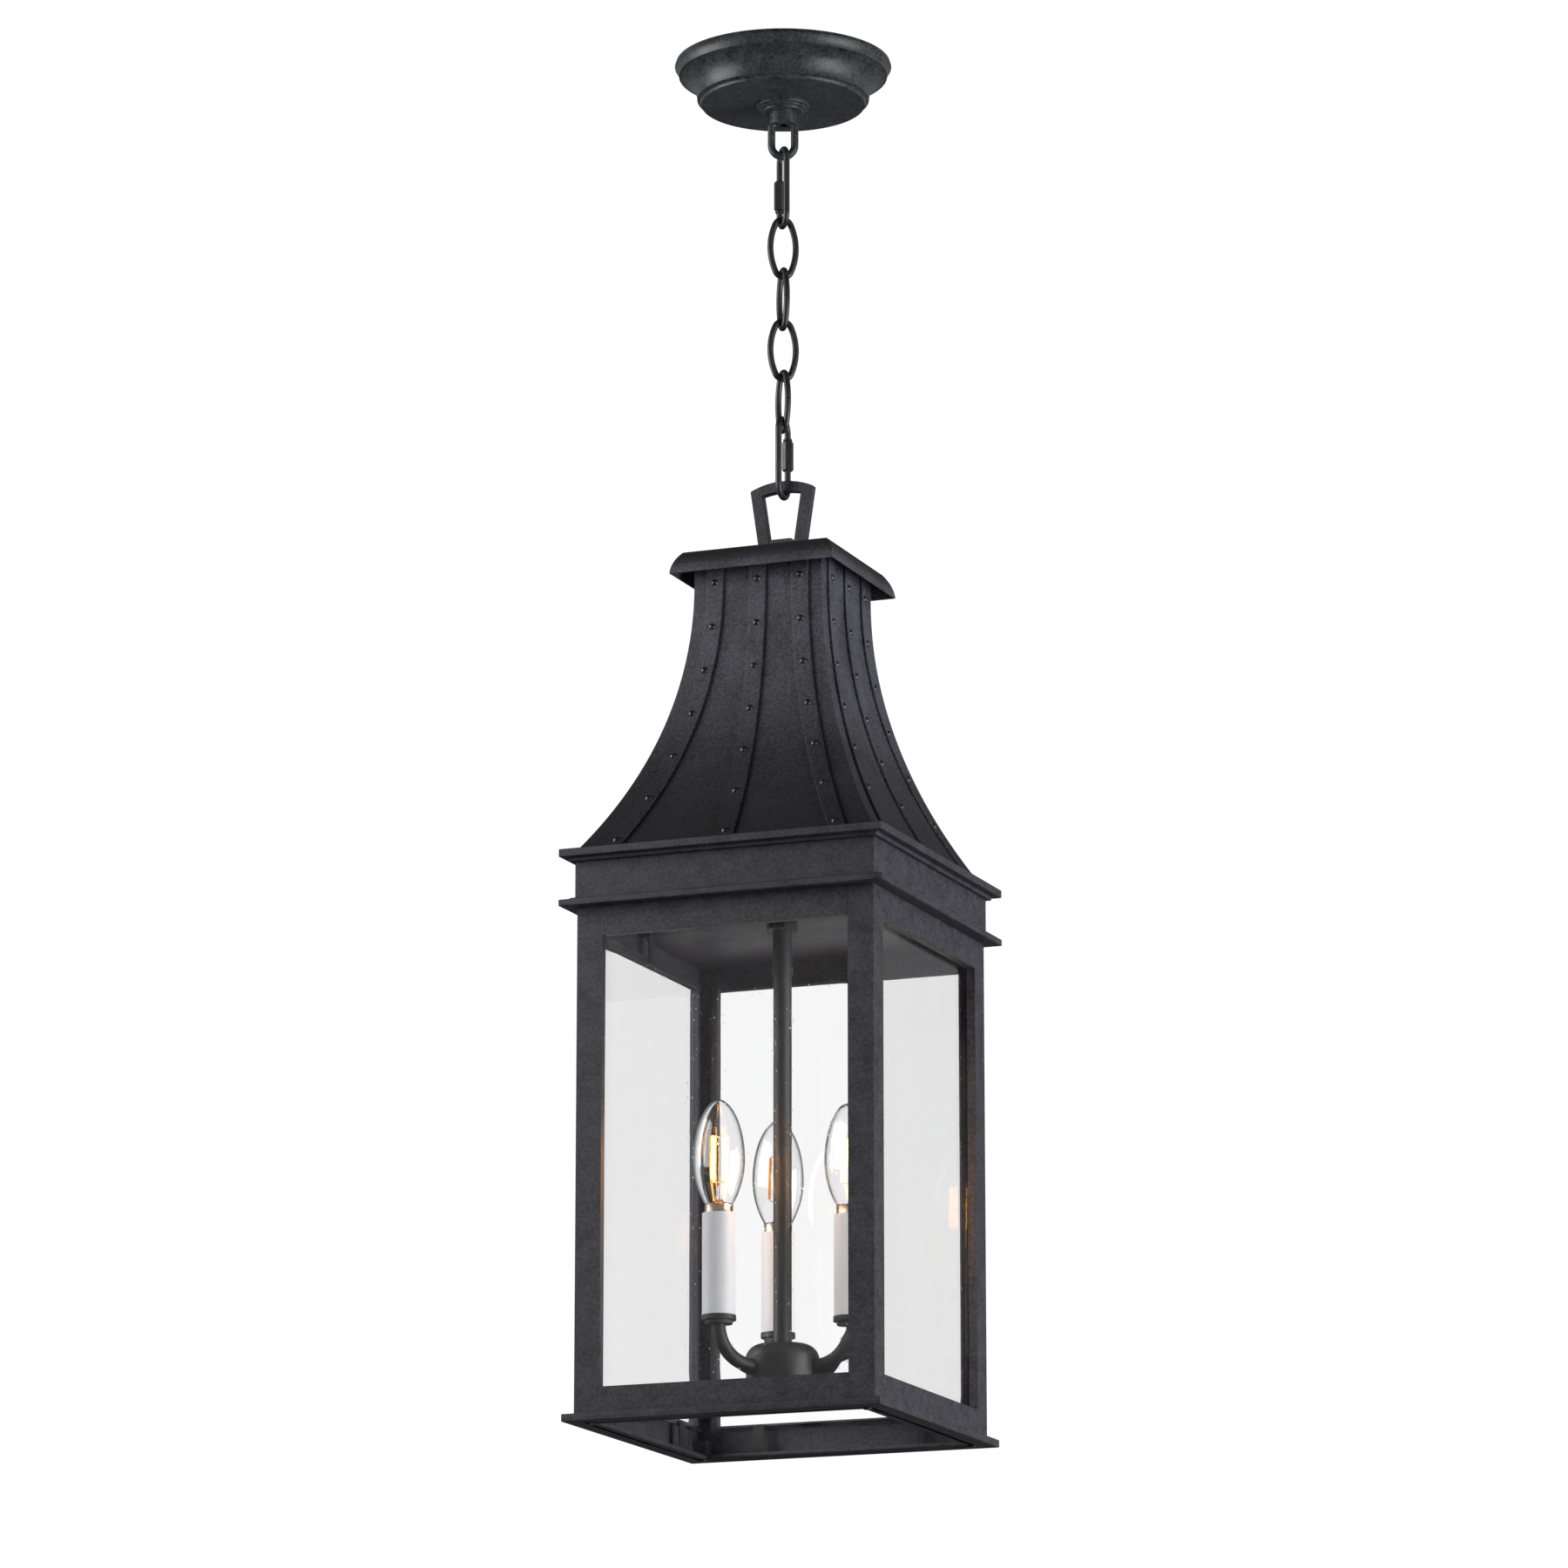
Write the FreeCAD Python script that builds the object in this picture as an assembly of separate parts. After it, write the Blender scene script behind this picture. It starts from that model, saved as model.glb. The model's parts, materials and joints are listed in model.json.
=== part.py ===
"""Hanging lantern: ceiling canopy, chain with two quick links, flared iron roof,
glazed square body and a three-candle cluster.

Frame: millimetres, +Z up, origin on the ceiling plane at the middle of the mounting strap.
The bail and the front pane lie across X; the front of the lantern faces -Y.
"""
import FreeCAD, Part

import math
import os

V = FreeCAD.Vector
UP = V(0, 0, 1)
ORIGIN = V(0, 0, 0)

# ---------------------------------------------------------------- driving dimensions
# clearances
THREAD_FIT = 0.06        # radial room of a thread or a running fit
SEAT_GAP = 0.15          # room between two chain pieces that hang in each other
DROP_IN = 0.25           # room around a piece that is put in place by hand
SKIM = 0.02              # hair's breadth that keeps a dome clear of a curved face

# ceiling fixing
STRAP_LENGTH = 105.0
STRAP_WIDTH = 19.0
STRAP_THICK = 2.5
BOX_SCREW_SPACING = 88.9
BOX_SLOT_WIDTH = 4.5
BOX_SLOT_LENGTH = 12.0
GROUND_SCREW_X = 20.0
GROUND_SCREW_R = 2.4
GROUND_HEAD_R = 4.4
GROUND_HEAD_H = 2.2
GROUND_SCREW_LENGTH = 7.0
NIPPLE_R = 4.8
NIPPLE_BORE_R = 3.25
NIPPLE_ABOVE_STRAP = 5.0
LOCKNUT_FLATS = 2 * NIPPLE_R + 6.4
LOCKNUT_THICK = 3.0

# canopy
CANOPY_R = 75.2
CANOPY_RIM_FOOT_R = CANOPY_R - 2.9
CANOPY_RIM_H = 9.3
CANOPY_COVE_R = CANOPY_R - 4.2
CANOPY_COVE_FOOT_R = CANOPY_R - 15.6
CANOPY_BASE_R = CANOPY_R - 18.6
CANOPY_DEPTH = 30.0
CANOPY_COVE_FOOT_Z = 3.6 - CANOPY_DEPTH
CANOPY_WALL = 1.2
NECK_R = 9.25
SEAT_RING_R = NECK_R + 9.05
SEAT_RING_STEP_R = NECK_R + 4.75
SEAT_RING_H = 5.8
NECK_SOCKET_DEPTH = 14.0
NECK_ABOVE_CANOPY = 4.0

# canopy loop
LOOP_WIRE = 5.3
LOOP_HALF = 8.0
LOOP_TOP_Z = -CANOPY_DEPTH - SEAT_RING_H - 6.8
LOOP_HEIGHT = 24.8
LOOP_CORNER_R = 4.0
LOOP_TURN = 20.0

# quick links, whose openings take the chain's wire
QUICK_WIRE = 4.3
LINK_WIRE = 4.3
QUICK_ROOM = 2.05
QUICK_HALF = QUICK_WIRE / 2 + LINK_WIRE + QUICK_ROOM
QUICK_LENGTH = 55.2
QUICK_STUB = 3.0
QUICK_OPENING = 8.0
QUICK_COLLAR_R = QUICK_WIRE / 2 + 0.95
QUICK_COLLAR_H = 2.0
QUICK_COLLAR_FROM_BOW = 3.0
QUICK_SLEEVE_LENGTH = 21.0
QUICK_SLEEVE_FLATS = QUICK_WIRE + 2.7
QUICK_SLEEVE_BEVEL = 1.0
UPPER_QUICK_TURN = 128.0
LOWER_QUICK_TURN = 90.0

# chain links
LINK_HALF_WIDTH = 9.1
LINK_LENGTH = 41.2
LINK_END_R = 6.0
LINK_SEAM = 0.35
LINK_TURNS = (38.0, 128.0, 218.0, 133.0)

# bail
BAIL_TOP_HALF = 22.9
BAIL_FOOT_HALF = 16.6
BAIL_LEG = 8.2
BAIL_DEPTH = 6.4
BAIL_BAR = 7.6
BAIL_ARCH_RISE = 5.3
BAIL_UNDER_RISE = 1.7
BAIL_WINDOW_H = 33.4
CROSSBAR_H = 7.0
CROSSBAR_ROUND = 3.0
COUPLING_R = 8.0
COUPLING_H = 9.8
COUPLING_THREAD = 4.6
COUPLING_ROOF = 1.0
WIRE_HOLE_R = 2.0
ROOF_NIPPLE_LENGTH = 24.0

# roof
CAP_H = 16.0
CAP_WALL = 1.5
BODY_HALF = 105.4
ROOF_TOP_HALF = 46.3
ROOF_FOOT_HALF = BODY_HALF + 0.5
CAP_TOP_HALF = ROOF_TOP_HALF + 6.0
CAP_FOOT_HALF = ROOF_TOP_HALF + 13.3
ROOF_FLARE_H = 192.0
ROOF_NECK_H = 6.2
ROOF_WALL = 1.2
STRAP_BAND_W = 11.8
STRAP_BAND_THICK = 1.8
SIDE_BAND_TOP_X = ROOF_TOP_HALF - 15.4
SIDE_BAND_FOOT_X = ROOF_FOOT_HALF - 24.6
RIVET_R = 2.35
RIVET_H = 1.4
RIVET_COUNT = 7
RIVET_PITCH = 31.05

# cornices and frieze
FLANGE_HALF = BODY_HALF + 9.8
FLANGE_H = 5.4
BEAD_HALF = BODY_HALF + 4.4
BEAD_H = 2.5
FRIEZE_HALF = BODY_HALF + 1.3
FRIEZE_H = 24.7
STEP_HALF = BODY_HALF + 4.2
STEP_H = 1.85
LOWER_FLANGE_H = 4.45
CORNICE_INNER_HALF = BODY_HALF - 4.4

# glazed body
BODY_H = 341.4
SHEET = 1.5
STILE = 18.1
TOP_RAIL = 20.0
BOTTOM_RAIL = 19.9
LIP_DEPTH = 6.0
GLASS_THICK = 3.0
GLASS_LAP = 4.6
CLIP_W = 8.0
CLIP_THICK = 0.8
CLIP_REACH = 3.6
CLIP_SPREAD = 56.0

# bottom flange and the frame screwed inside it
BOTTOM_FLANGE_HALF = BODY_HALF + 6.5
BOTTOM_FLANGE_H = 5.2
BOTTOM_FRAME_H = 3.0
BOTTOM_FRAME_INNER_HALF = BODY_HALF - 11.9
BOTTOM_FRAME_GAP = 0.5
SCREW_BLOCK = 10.0
BOTTOM_SCREW_AT = BODY_HALF - 7.9
BOTTOM_SCREW_R = 1.6
BOTTOM_SCREW_HEAD_R = 3.0
BOTTOM_SCREW_HEAD_H = 1.0
BOTTOM_SCREW_LENGTH = 10.0

# candle cluster
CEILING_PLATE = 1.5
STEM_NUT_FLATS = 19.0
STEM_NUT_H = 3.5
STEM_COUPLING_R = 6.6
STEM_COUPLING_H = 23.0
STEM_COLLAR_R = 7.2
STEM_COLLAR_H = 5.4
STEM_R = 6.2
STEM_BORE_R = STEM_R - 1.4
STEM_LENGTH = 251.0
HUB_R = 24.5
HUB_TOP_R = 15.5
HUB_SHOULDER_H = 8.5
HUB_H = 26.0
HUB_WALL = 2.0
HUB_FINIAL_R = 6.0
HUB_FINIAL_H = 7.0
ARM_R = 4.65
ARM_BORE_R = ARM_R - 1.25
ARM_DROP = 15.6
ARM_REACH = 50.5
ARM_BEND_R = 25.2
ARM_TUCK = 4.0
ARM_COUNT = 3
ARM_FIRST_ANGLE = 115.1
CANDLE_R = 11.15
CUP_R = CANDLE_R + 0.45
CUP_RIM_H = 3.4
CUP_FOOT_R = CUP_R - 2.3
CUP_FOOT_H = 2.4
CANDLE_WALL = 1.0
CANDLE_H = 68.1
SOCKET_DEPTH = 23.0
SOCKET_PLAY = 0.4
BULB_SHELL_R = 5.9
BULB_SHELL_H = 19.0
BULB_COLLAR_R = CANDLE_R - CANDLE_WALL - 0.55
BULB_COLLAR_H = 6.2
BULB_R = 17.3
BULB_H = 70.7
BULB_WIDEST_H = 28.5
BULB_NECK_R = BULB_COLLAR_R - 1.2
BULB_WALL = 0.8
FILAMENT_LENGTH = 30.0
FILAMENT_R = 0.75
FILAMENT_TOP_SPREAD = 5.2
FILAMENT_FOOT_SPREAD = 6.0
FILAMENT_FOOT_H = 15.9
FILAMENT_COUNT = 4


# ---------------------------------------------------------------- plain shapes
def block(x0, x1, y0, y1, z0, z1):
    """Box between two corners."""
    return Part.makeBox(x1 - x0, y1 - y0, z1 - z0, V(x0, y0, z0))


def rod(radius, z0, z1, x=0.0, y=0.0):
    """Upright cylinder from z0 up to z1."""
    return Part.makeCylinder(radius, z1 - z0, V(x, y, z0), UP)


def tube(outer, inner, z0, z1, x=0.0, y=0.0):
    """Upright tube from z0 up to z1."""
    return rod(outer, z0, z1, x, y).cut(rod(inner, z0 - 1, z1 + 1, x, y))


def polygon(points):
    """Closed wire through a list of points."""
    return Part.makePolygon(list(points) + [points[0]])


def turned(outline):
    """Solid of revolution about Z from (radius, z) points; a third value bulges the edge
    that ends there into an arc by that much."""
    edges = []
    count = len(outline)
    for i in range(count):
        a, b = outline[i], outline[(i + 1) % count]
        start, end = V(a[0], 0, a[1]), V(b[0], 0, b[1])
        edges.append(bulged(start, end, b[2] if len(b) > 2 else 0.0))
    return Part.Face(Part.Wire(edges)).revolve(ORIGIN, UP, 360)


def bulged(start, end, bulge):
    """Edge in the XZ plane, bowed to its left by the given height."""
    if abs(bulge) < 1e-9:
        return Part.makeLine(start, end)
    run = end - start
    side = V(-run.z, 0, run.x)
    side.normalize()
    middle = (start + end) * 0.5 + side * bulge
    return Part.Arc(start, middle, end).toShape()


def hexagon(flats, z0, z1, bore=0.0, x=0.0, y=0.0):
    """Upright hexagonal prism with an optional bore."""
    corner = flats / math.sqrt(3.0)
    points = [V(x + corner * math.cos(math.radians(60 * i)),
                y + corner * math.sin(math.radians(60 * i)), z0) for i in range(6)]
    solid = Part.Face(polygon(points)).extrude(V(0, 0, z1 - z0))
    return solid.cut(rod(bore, z0 - 1, z1 + 1, x, y)) if bore else solid


def spun(shape, degrees):
    """Copy of a shape turned about the Z axis."""
    copy = shape.copy()
    copy.rotate(ORIGIN, UP, degrees)
    return copy


def raised(shape, z):
    """Copy of a shape lifted along Z."""
    copy = shape.copy()
    copy.translate(V(0, 0, z))
    return copy


def fused(shapes):
    """One solid out of touching shapes."""
    whole = shapes[0]
    for shape in shapes[1:]:
        whole = whole.fuse(shape)
    return whole.removeSplitter()


def save(name, shapes):
    """Write one named piece; a list is a group of separate solids."""
    group = shapes if isinstance(shapes, list) else [shapes]
    solids = [solid for shape in group for solid in shape.Solids]
    for solid in solids:
        if not solid.isValid():
            raise ValueError(name + " is not a valid solid")
    whole = solids[0] if len(solids) == 1 else Part.makeCompound(solids)
    whole.exportStep("parts/" + name + ".step")


# ---------------------------------------------------------------- four-sided pieces
def front_wedge(reach, z0, z1):
    """Upright prism that holds the front quarter of a square, mitred at 45 degrees."""
    points = [V(0, 0, z0), V(-reach, -reach, z0), V(reach, -reach, z0)]
    return Part.Face(polygon(points)).extrude(V(0, 0, z1 - z0))


def front_strip(edges, reach, z0, z1):
    """Mitred front strip from a section drawn in the YZ plane at x = 0."""
    section = Part.Face(Part.Wire(edges))
    section.translate(V(-reach, 0, 0))
    return section.extrude(V(2 * reach, 0, 0)).common(front_wedge(reach, z0, z1))


def straight_section(points):
    """Edges of a YZ section given as (distance out, z) points."""
    corners = [V(0, -out, z) for out, z in points]
    return polygon(corners).Edges


def four(shape):
    """The four copies of a front piece, one on each side."""
    return [spun(shape, 90 * side) for side in range(4)]


# ---------------------------------------------------------------- wire pieces
def swept(edges, radius):
    """Round wire along an open path."""
    path = Part.Wire(edges)
    first = edges[0]
    start = first.valueAt(first.FirstParameter)
    along = first.tangentAt(first.FirstParameter)
    circle = Part.Wire(Part.makeCircle(radius, start, along))
    return path.makePipeShell([circle], True, False)


def on_circle(cx, cz, radius, degrees):
    """Point of a circle in the XZ plane; 0 degrees is +X and 90 is +Z."""
    angle = math.radians(degrees)
    return V(cx + radius * math.cos(angle), 0, cz + radius * math.sin(angle))


def arc(cx, cz, radius, start, end):
    """Arc in the XZ plane between two angles in degrees."""
    return Part.Arc(on_circle(cx, cz, radius, start),
                    on_circle(cx, cz, radius, (start + end) / 2.0),
                    on_circle(cx, cz, radius, end)).toShape()


def hang_drop(upper_r, upper_wire, lower_r, lower_wire, turn):
    """Height of a hanging bow's middle above the middle of the bow that carries it.

    Both bows are round wire; turn is the angle between their planes. The two wires come
    no nearer than SEAT_GAP."""
    angle = math.radians(turn)
    wanted = (upper_wire + lower_wire) / 2.0 + SEAT_GAP
    steps = [math.radians(2.0 * i) for i in range(36)]

    def nearest(height):
        best = height
        for a in steps:
            for b in steps:
                s, rise = upper_r * math.sin(a), upper_r * (1 - math.cos(a))
                for t in (lower_r * math.sin(b), -lower_r * math.sin(b)):
                    fall = height - lower_r * (1 - math.cos(b))
                    dx, dy = t * math.cos(angle) - s, t * math.sin(angle)
                    best = min(best, math.sqrt(dx * dx + dy * dy + (fall - rise) ** 2))
        return best

    low, high = wanted, wanted + upper_r + lower_r
    for _ in range(18):
        middle = (low + high) / 2.0
        if nearest(middle) < wanted:
            low = middle
        else:
            high = middle
    return high


# ---------------------------------------------------------------- places down the chain
neck_top = -CANOPY_DEPTH + NECK_ABOVE_CANOPY
loop_foot = LOOP_TOP_Z - LOOP_HEIGHT
upper_quick_top = loop_foot + hang_drop(
    LOOP_HALF, LOOP_WIRE, QUICK_HALF, QUICK_WIRE, UPPER_QUICK_TURN - LOOP_TURN)
upper_quick_foot = upper_quick_top - QUICK_LENGTH

link_tops = []
link_feet = []
above_foot, above_r, above_wire, above_turn = upper_quick_foot, QUICK_HALF, QUICK_WIRE, UPPER_QUICK_TURN
for link_turn in LINK_TURNS:
    top = above_foot + hang_drop(above_r, above_wire, LINK_END_R, LINK_WIRE,
                                 link_turn - above_turn)
    link_tops.append(top)
    link_feet.append(top - LINK_LENGTH)
    above_foot, above_r, above_wire, above_turn = link_feet[-1], LINK_END_R, LINK_WIRE, link_turn

lower_quick_top = above_foot + hang_drop(
    LINK_END_R, LINK_WIRE, QUICK_HALF, QUICK_WIRE, above_turn - LOWER_QUICK_TURN)
lower_quick_foot = lower_quick_top - QUICK_LENGTH

# the bail's flat bar rides on the inside of the lower quick link's round bow
bow_inside = QUICK_HALF - QUICK_WIRE / 2.0
bow_rise = QUICK_HALF - math.sqrt(bow_inside ** 2 - (BAIL_DEPTH / 2.0) ** 2)
bail_under = lower_quick_foot + bow_rise + SEAT_GAP
crossbar_top = bail_under - BAIL_WINDOW_H
bail_foot = crossbar_top - CROSSBAR_H
cap_top = bail_foot - COUPLING_H
cap_foot = cap_top - CAP_H
flare_top = cap_foot - ROOF_NECK_H
cornice_top = flare_top - ROOF_FLARE_H
flange_foot = cornice_top - FLANGE_H
frieze_top = flange_foot - BEAD_H
frieze_foot = frieze_top - FRIEZE_H
lower_flange_top = frieze_foot - STEP_H
body_top = lower_flange_top - LOWER_FLANGE_H
body_foot = body_top - BODY_H
bottom = body_foot - BOTTOM_FRAME_H

window_half = BODY_HALF - STILE
window_top = body_top - TOP_RAIL
window_foot = body_foot + BOTTOM_RAIL
glass_face = BODY_HALF - LIP_DEPTH
glass_back = glass_face - GLASS_THICK
body_inside = BODY_HALF - SHEET

plate_foot = body_top - CEILING_PLATE
stem_nut_foot = plate_foot - STEM_NUT_H
stem_collar_top = stem_nut_foot - STEM_COUPLING_H
stem_top = stem_collar_top - STEM_COLLAR_H
hub_top = stem_top - STEM_LENGTH
hub_foot = hub_top - HUB_H
arm_level = hub_top - ARM_DROP
arm_top = arm_level + ARM_BEND_R
cup_foot = arm_top
cup_step = cup_foot + CUP_FOOT_H
cup_top = cup_step + CUP_RIM_H
candle_top = cup_top + CANDLE_H
collar_top = candle_top + BULB_COLLAR_H

roof_rise = ROOF_FOOT_HALF - ROOF_TOP_HALF
flare_r = (roof_rise ** 2 + ROOF_FLARE_H ** 2) / (2.0 * roof_rise)
flare_axis = ROOF_TOP_HALF + flare_r
roof_peak = cap_top - CAP_WALL


def roof_half(z, proud=0.0):
    """Half width of the roof at a height, on a face that stands proud of the sheet."""
    fall = max(flare_top - z, 0.0)
    return flare_axis - math.sqrt((flare_r - proud) ** 2 - fall ** 2)


def band_x(z):
    """Distance from the middle of a face to the centre of a side band at a height."""
    share = (roof_half(z) - ROOF_TOP_HALF) / roof_rise
    return SIDE_BAND_TOP_X + share * (SIDE_BAND_FOOT_X - SIDE_BAND_TOP_X)


# ---------------------------------------------------------------- ceiling fixing and canopy
def make_ceiling_fixing():
    """Slotted strap, hollow nipple, its two nuts and the ground screw."""
    strap = block(-STRAP_LENGTH / 2, STRAP_LENGTH / 2, -STRAP_WIDTH / 2, STRAP_WIDTH / 2,
                  -STRAP_THICK, 0)
    slot_run = (BOX_SLOT_LENGTH - BOX_SLOT_WIDTH) / 2.0
    for side in (-1, 1):
        middle = side * BOX_SCREW_SPACING / 2.0
        half = BOX_SLOT_WIDTH / 2.0
        strap = strap.cut(block(middle - slot_run, middle + slot_run, -half, half, -STRAP_THICK, 0))
        for end in (-slot_run, slot_run):
            strap = strap.cut(rod(half, -STRAP_THICK, 0, middle + end))
    strap = strap.cut(rod(NIPPLE_R + THREAD_FIT, -STRAP_THICK, 0))
    strap = strap.cut(rod(GROUND_SCREW_R + THREAD_FIT, -STRAP_THICK, 0, GROUND_SCREW_X))
    save("mounting_strap", strap.removeSplitter())

    nipple_foot = neck_top - NECK_SOCKET_DEPTH + 1.0
    save("strap_nipple", tube(NIPPLE_R, NIPPLE_BORE_R, nipple_foot, NIPPLE_ABOVE_STRAP))
    bore = NIPPLE_R + THREAD_FIT
    save("nipple_locknuts", [hexagon(LOCKNUT_FLATS, 0, LOCKNUT_THICK, bore),
                             hexagon(LOCKNUT_FLATS, -STRAP_THICK - LOCKNUT_THICK,
                                     -STRAP_THICK, bore)])

    head = rod(GROUND_HEAD_R, -STRAP_THICK - GROUND_HEAD_H, -STRAP_THICK, GROUND_SCREW_X)
    slot = block(GROUND_SCREW_X - GROUND_HEAD_R, GROUND_SCREW_X + GROUND_HEAD_R, -0.5, 0.5,
                 -STRAP_THICK - GROUND_HEAD_H, -STRAP_THICK - GROUND_HEAD_H + 1.0)
    shank = rod(GROUND_SCREW_R, -STRAP_THICK, -STRAP_THICK + GROUND_SCREW_LENGTH, GROUND_SCREW_X)
    save("ground_screw", fused([head.cut(slot), shank]))


def make_canopy():
    """Spun canopy with a rolled rim, a convex cove and a small step round its flat base."""
    wall = CANOPY_WALL
    base_z = -CANOPY_DEPTH
    outside = [(CANOPY_R - 0.8, 0.0), (CANOPY_R, -2.5, -0.3), (CANOPY_RIM_FOOT_R, -CANOPY_RIM_H, -0.7),
               (CANOPY_COVE_R, -CANOPY_RIM_H - 0.2),
               (CANOPY_COVE_FOOT_R, CANOPY_COVE_FOOT_Z, -3.0),
               (CANOPY_COVE_FOOT_R - 0.8, CANOPY_COVE_FOOT_Z - 0.4),
               (CANOPY_BASE_R, base_z, -0.8)]
    hole = NECK_R + THREAD_FIT
    inside = [(hole, base_z), (hole, base_z + wall), (CANOPY_BASE_R - 0.6, base_z + wall),
              (CANOPY_COVE_FOOT_R - 1.8 * wall, CANOPY_COVE_FOOT_Z + 0.8, 0.5),
              (CANOPY_COVE_R - wall, -CANOPY_RIM_H + 0.8, 3.0),
              (CANOPY_R - 0.8 - wall, -3.0), (CANOPY_R - 0.8 - wall, 0.0)]
    save("canopy", turned(outside + inside))

    ring_foot = base_z - SEAT_RING_H
    hole = NECK_R + THREAD_FIT
    ring = [(hole, base_z), (hole, ring_foot), (SEAT_RING_STEP_R - 1.2, ring_foot),
            (SEAT_RING_STEP_R, ring_foot + 1.2, -0.3), (SEAT_RING_STEP_R, ring_foot + 2.2),
            (SEAT_RING_STEP_R + 1.6, ring_foot + 2.6), (SEAT_RING_STEP_R + 2.2, ring_foot + 3.4),
            (SEAT_RING_R - 0.5, ring_foot + 3.8), (SEAT_RING_R, ring_foot + 4.6, -0.2),
            (SEAT_RING_R, base_z)]
    save("canopy_seat_ring", turned(ring))


def make_canopy_loop():
    """Threaded neck with the closed loop that the chain hangs from."""
    half, corner, top = LOOP_HALF, LOOP_CORNER_R, LOOP_TOP_Z
    bow_z = loop_foot + half
    edges = [Part.makeLine(V(0, 0, top), V(half - corner, 0, top)),
             arc(half - corner, top - corner, corner, 90, 0),
             Part.makeLine(V(half, 0, top - corner), V(half, 0, bow_z)),
             arc(0, bow_z, half, 0, -90)]
    right = swept(edges, LOOP_WIRE / 2.0)
    left = right.mirror(ORIGIN, V(1, 0, 0))
    neck = rod(NECK_R, top - LOOP_WIRE / 2.0 + 0.6, neck_top)
    loop = fused([neck, right, left])
    loop = loop.cut(rod(NIPPLE_R + THREAD_FIT, neck_top - NECK_SOCKET_DEPTH, neck_top + 1))
    loop = loop.cut(rod(NIPPLE_BORE_R, top - LOOP_WIRE, neck_top))
    save("canopy_loop", spun(loop, LOOP_TURN))


# ---------------------------------------------------------------- chain
def make_chain_link(name, foot, turn):
    """Oval link of four tangent arcs, butted with a fine seam in the middle of one side."""
    half_length = LINK_LENGTH / 2.0
    end_z = half_length - LINK_END_R
    side_r = ((LINK_HALF_WIDTH ** 2 + end_z ** 2 - LINK_END_R ** 2)
              / (2.0 * (LINK_HALF_WIDTH - LINK_END_R)))
    side_x = side_r - LINK_HALF_WIDTH
    lean = math.degrees(math.atan2(end_z, side_x))
    seam = math.degrees(LINK_SEAM / 2.0 / side_r)
    edges = [arc(side_x, 0, side_r, 180 - seam, 180 - lean),
             arc(0, end_z, LINK_END_R, 180 - lean, lean),
             arc(-side_x, 0, side_r, lean, -lean),
             arc(0, -end_z, LINK_END_R, -lean, lean - 180),
             arc(side_x, 0, side_r, 180 + lean, 180 + seam)]
    link = swept(edges, LINK_WIRE / 2.0)
    save(name, spun(raised(link, foot + half_length), turn))


def make_quick_link(name, sleeve_name, foot, turn, flipped):
    """Long link with a screw sleeve across its opening, and the sleeve.

    Upright, the fixed collar and stub hang from the top bow; flipped, they stand on the
    bottom bow."""
    half, straight = QUICK_HALF, QUICK_LENGTH - 2 * QUICK_HALF
    top_z = straight / 2.0
    collar_top_z = top_z - QUICK_COLLAR_FROM_BOW
    collar_foot_z = collar_top_z - QUICK_COLLAR_H
    stub_tip = collar_foot_z - QUICK_STUB
    thread_tip = stub_tip - QUICK_OPENING
    edges = [Part.makeLine(V(half, 0, stub_tip), V(half, 0, top_z)),
             arc(0, top_z, half, 0, 180),
             Part.makeLine(V(-half, 0, top_z), V(-half, 0, -top_z)),
             arc(0, -top_z, half, 180, 360),
             Part.makeLine(V(half, 0, -top_z), V(half, 0, thread_tip))]
    collar = rod(QUICK_COLLAR_R, collar_foot_z, collar_top_z, half)
    collar = collar.makeChamfer(0.5, [e for e in collar.Edges if e.Closed])
    link = fused([swept(edges, QUICK_WIRE / 2.0), collar])

    sleeve_top = collar_foot_z - THREAD_FIT
    sleeve_foot = sleeve_top - QUICK_SLEEVE_LENGTH
    sleeve = hexagon(QUICK_SLEEVE_FLATS, sleeve_foot, sleeve_top)
    bevel = QUICK_SLEEVE_BEVEL
    corner = QUICK_SLEEVE_FLATS / math.sqrt(3.0)
    round_off = turned([(0, sleeve_foot), (corner - bevel, sleeve_foot),
                        (corner, sleeve_foot + bevel), (corner, sleeve_top - bevel),
                        (corner - bevel, sleeve_top), (0, sleeve_top)])
    sleeve = sleeve.common(round_off)
    sleeve = sleeve.cut(rod(QUICK_WIRE / 2.0 + THREAD_FIT, sleeve_foot - 1, sleeve_top + 1))
    sleeve.translate(V(half, 0, 0))

    middle = foot + QUICK_LENGTH / 2.0
    for piece_name, piece in ((name, link), (sleeve_name, sleeve)):
        if flipped:
            piece.rotate(ORIGIN, V(1, 0, 0), 180)
        save(piece_name, spun(raised(piece, middle), turn))


def make_chain():
    """Both quick links and the oval links between them."""
    make_quick_link("quick_link_upper", "upper_link_sleeve", upper_quick_foot,
                    UPPER_QUICK_TURN, True)
    for number, (foot, turn) in enumerate(zip(link_feet, LINK_TURNS), start=1):
        make_chain_link("chain_link_%d" % number, foot, turn)
    make_quick_link("quick_link_lower", "lower_link_sleeve", lower_quick_foot,
                    LOWER_QUICK_TURN, False)


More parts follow.
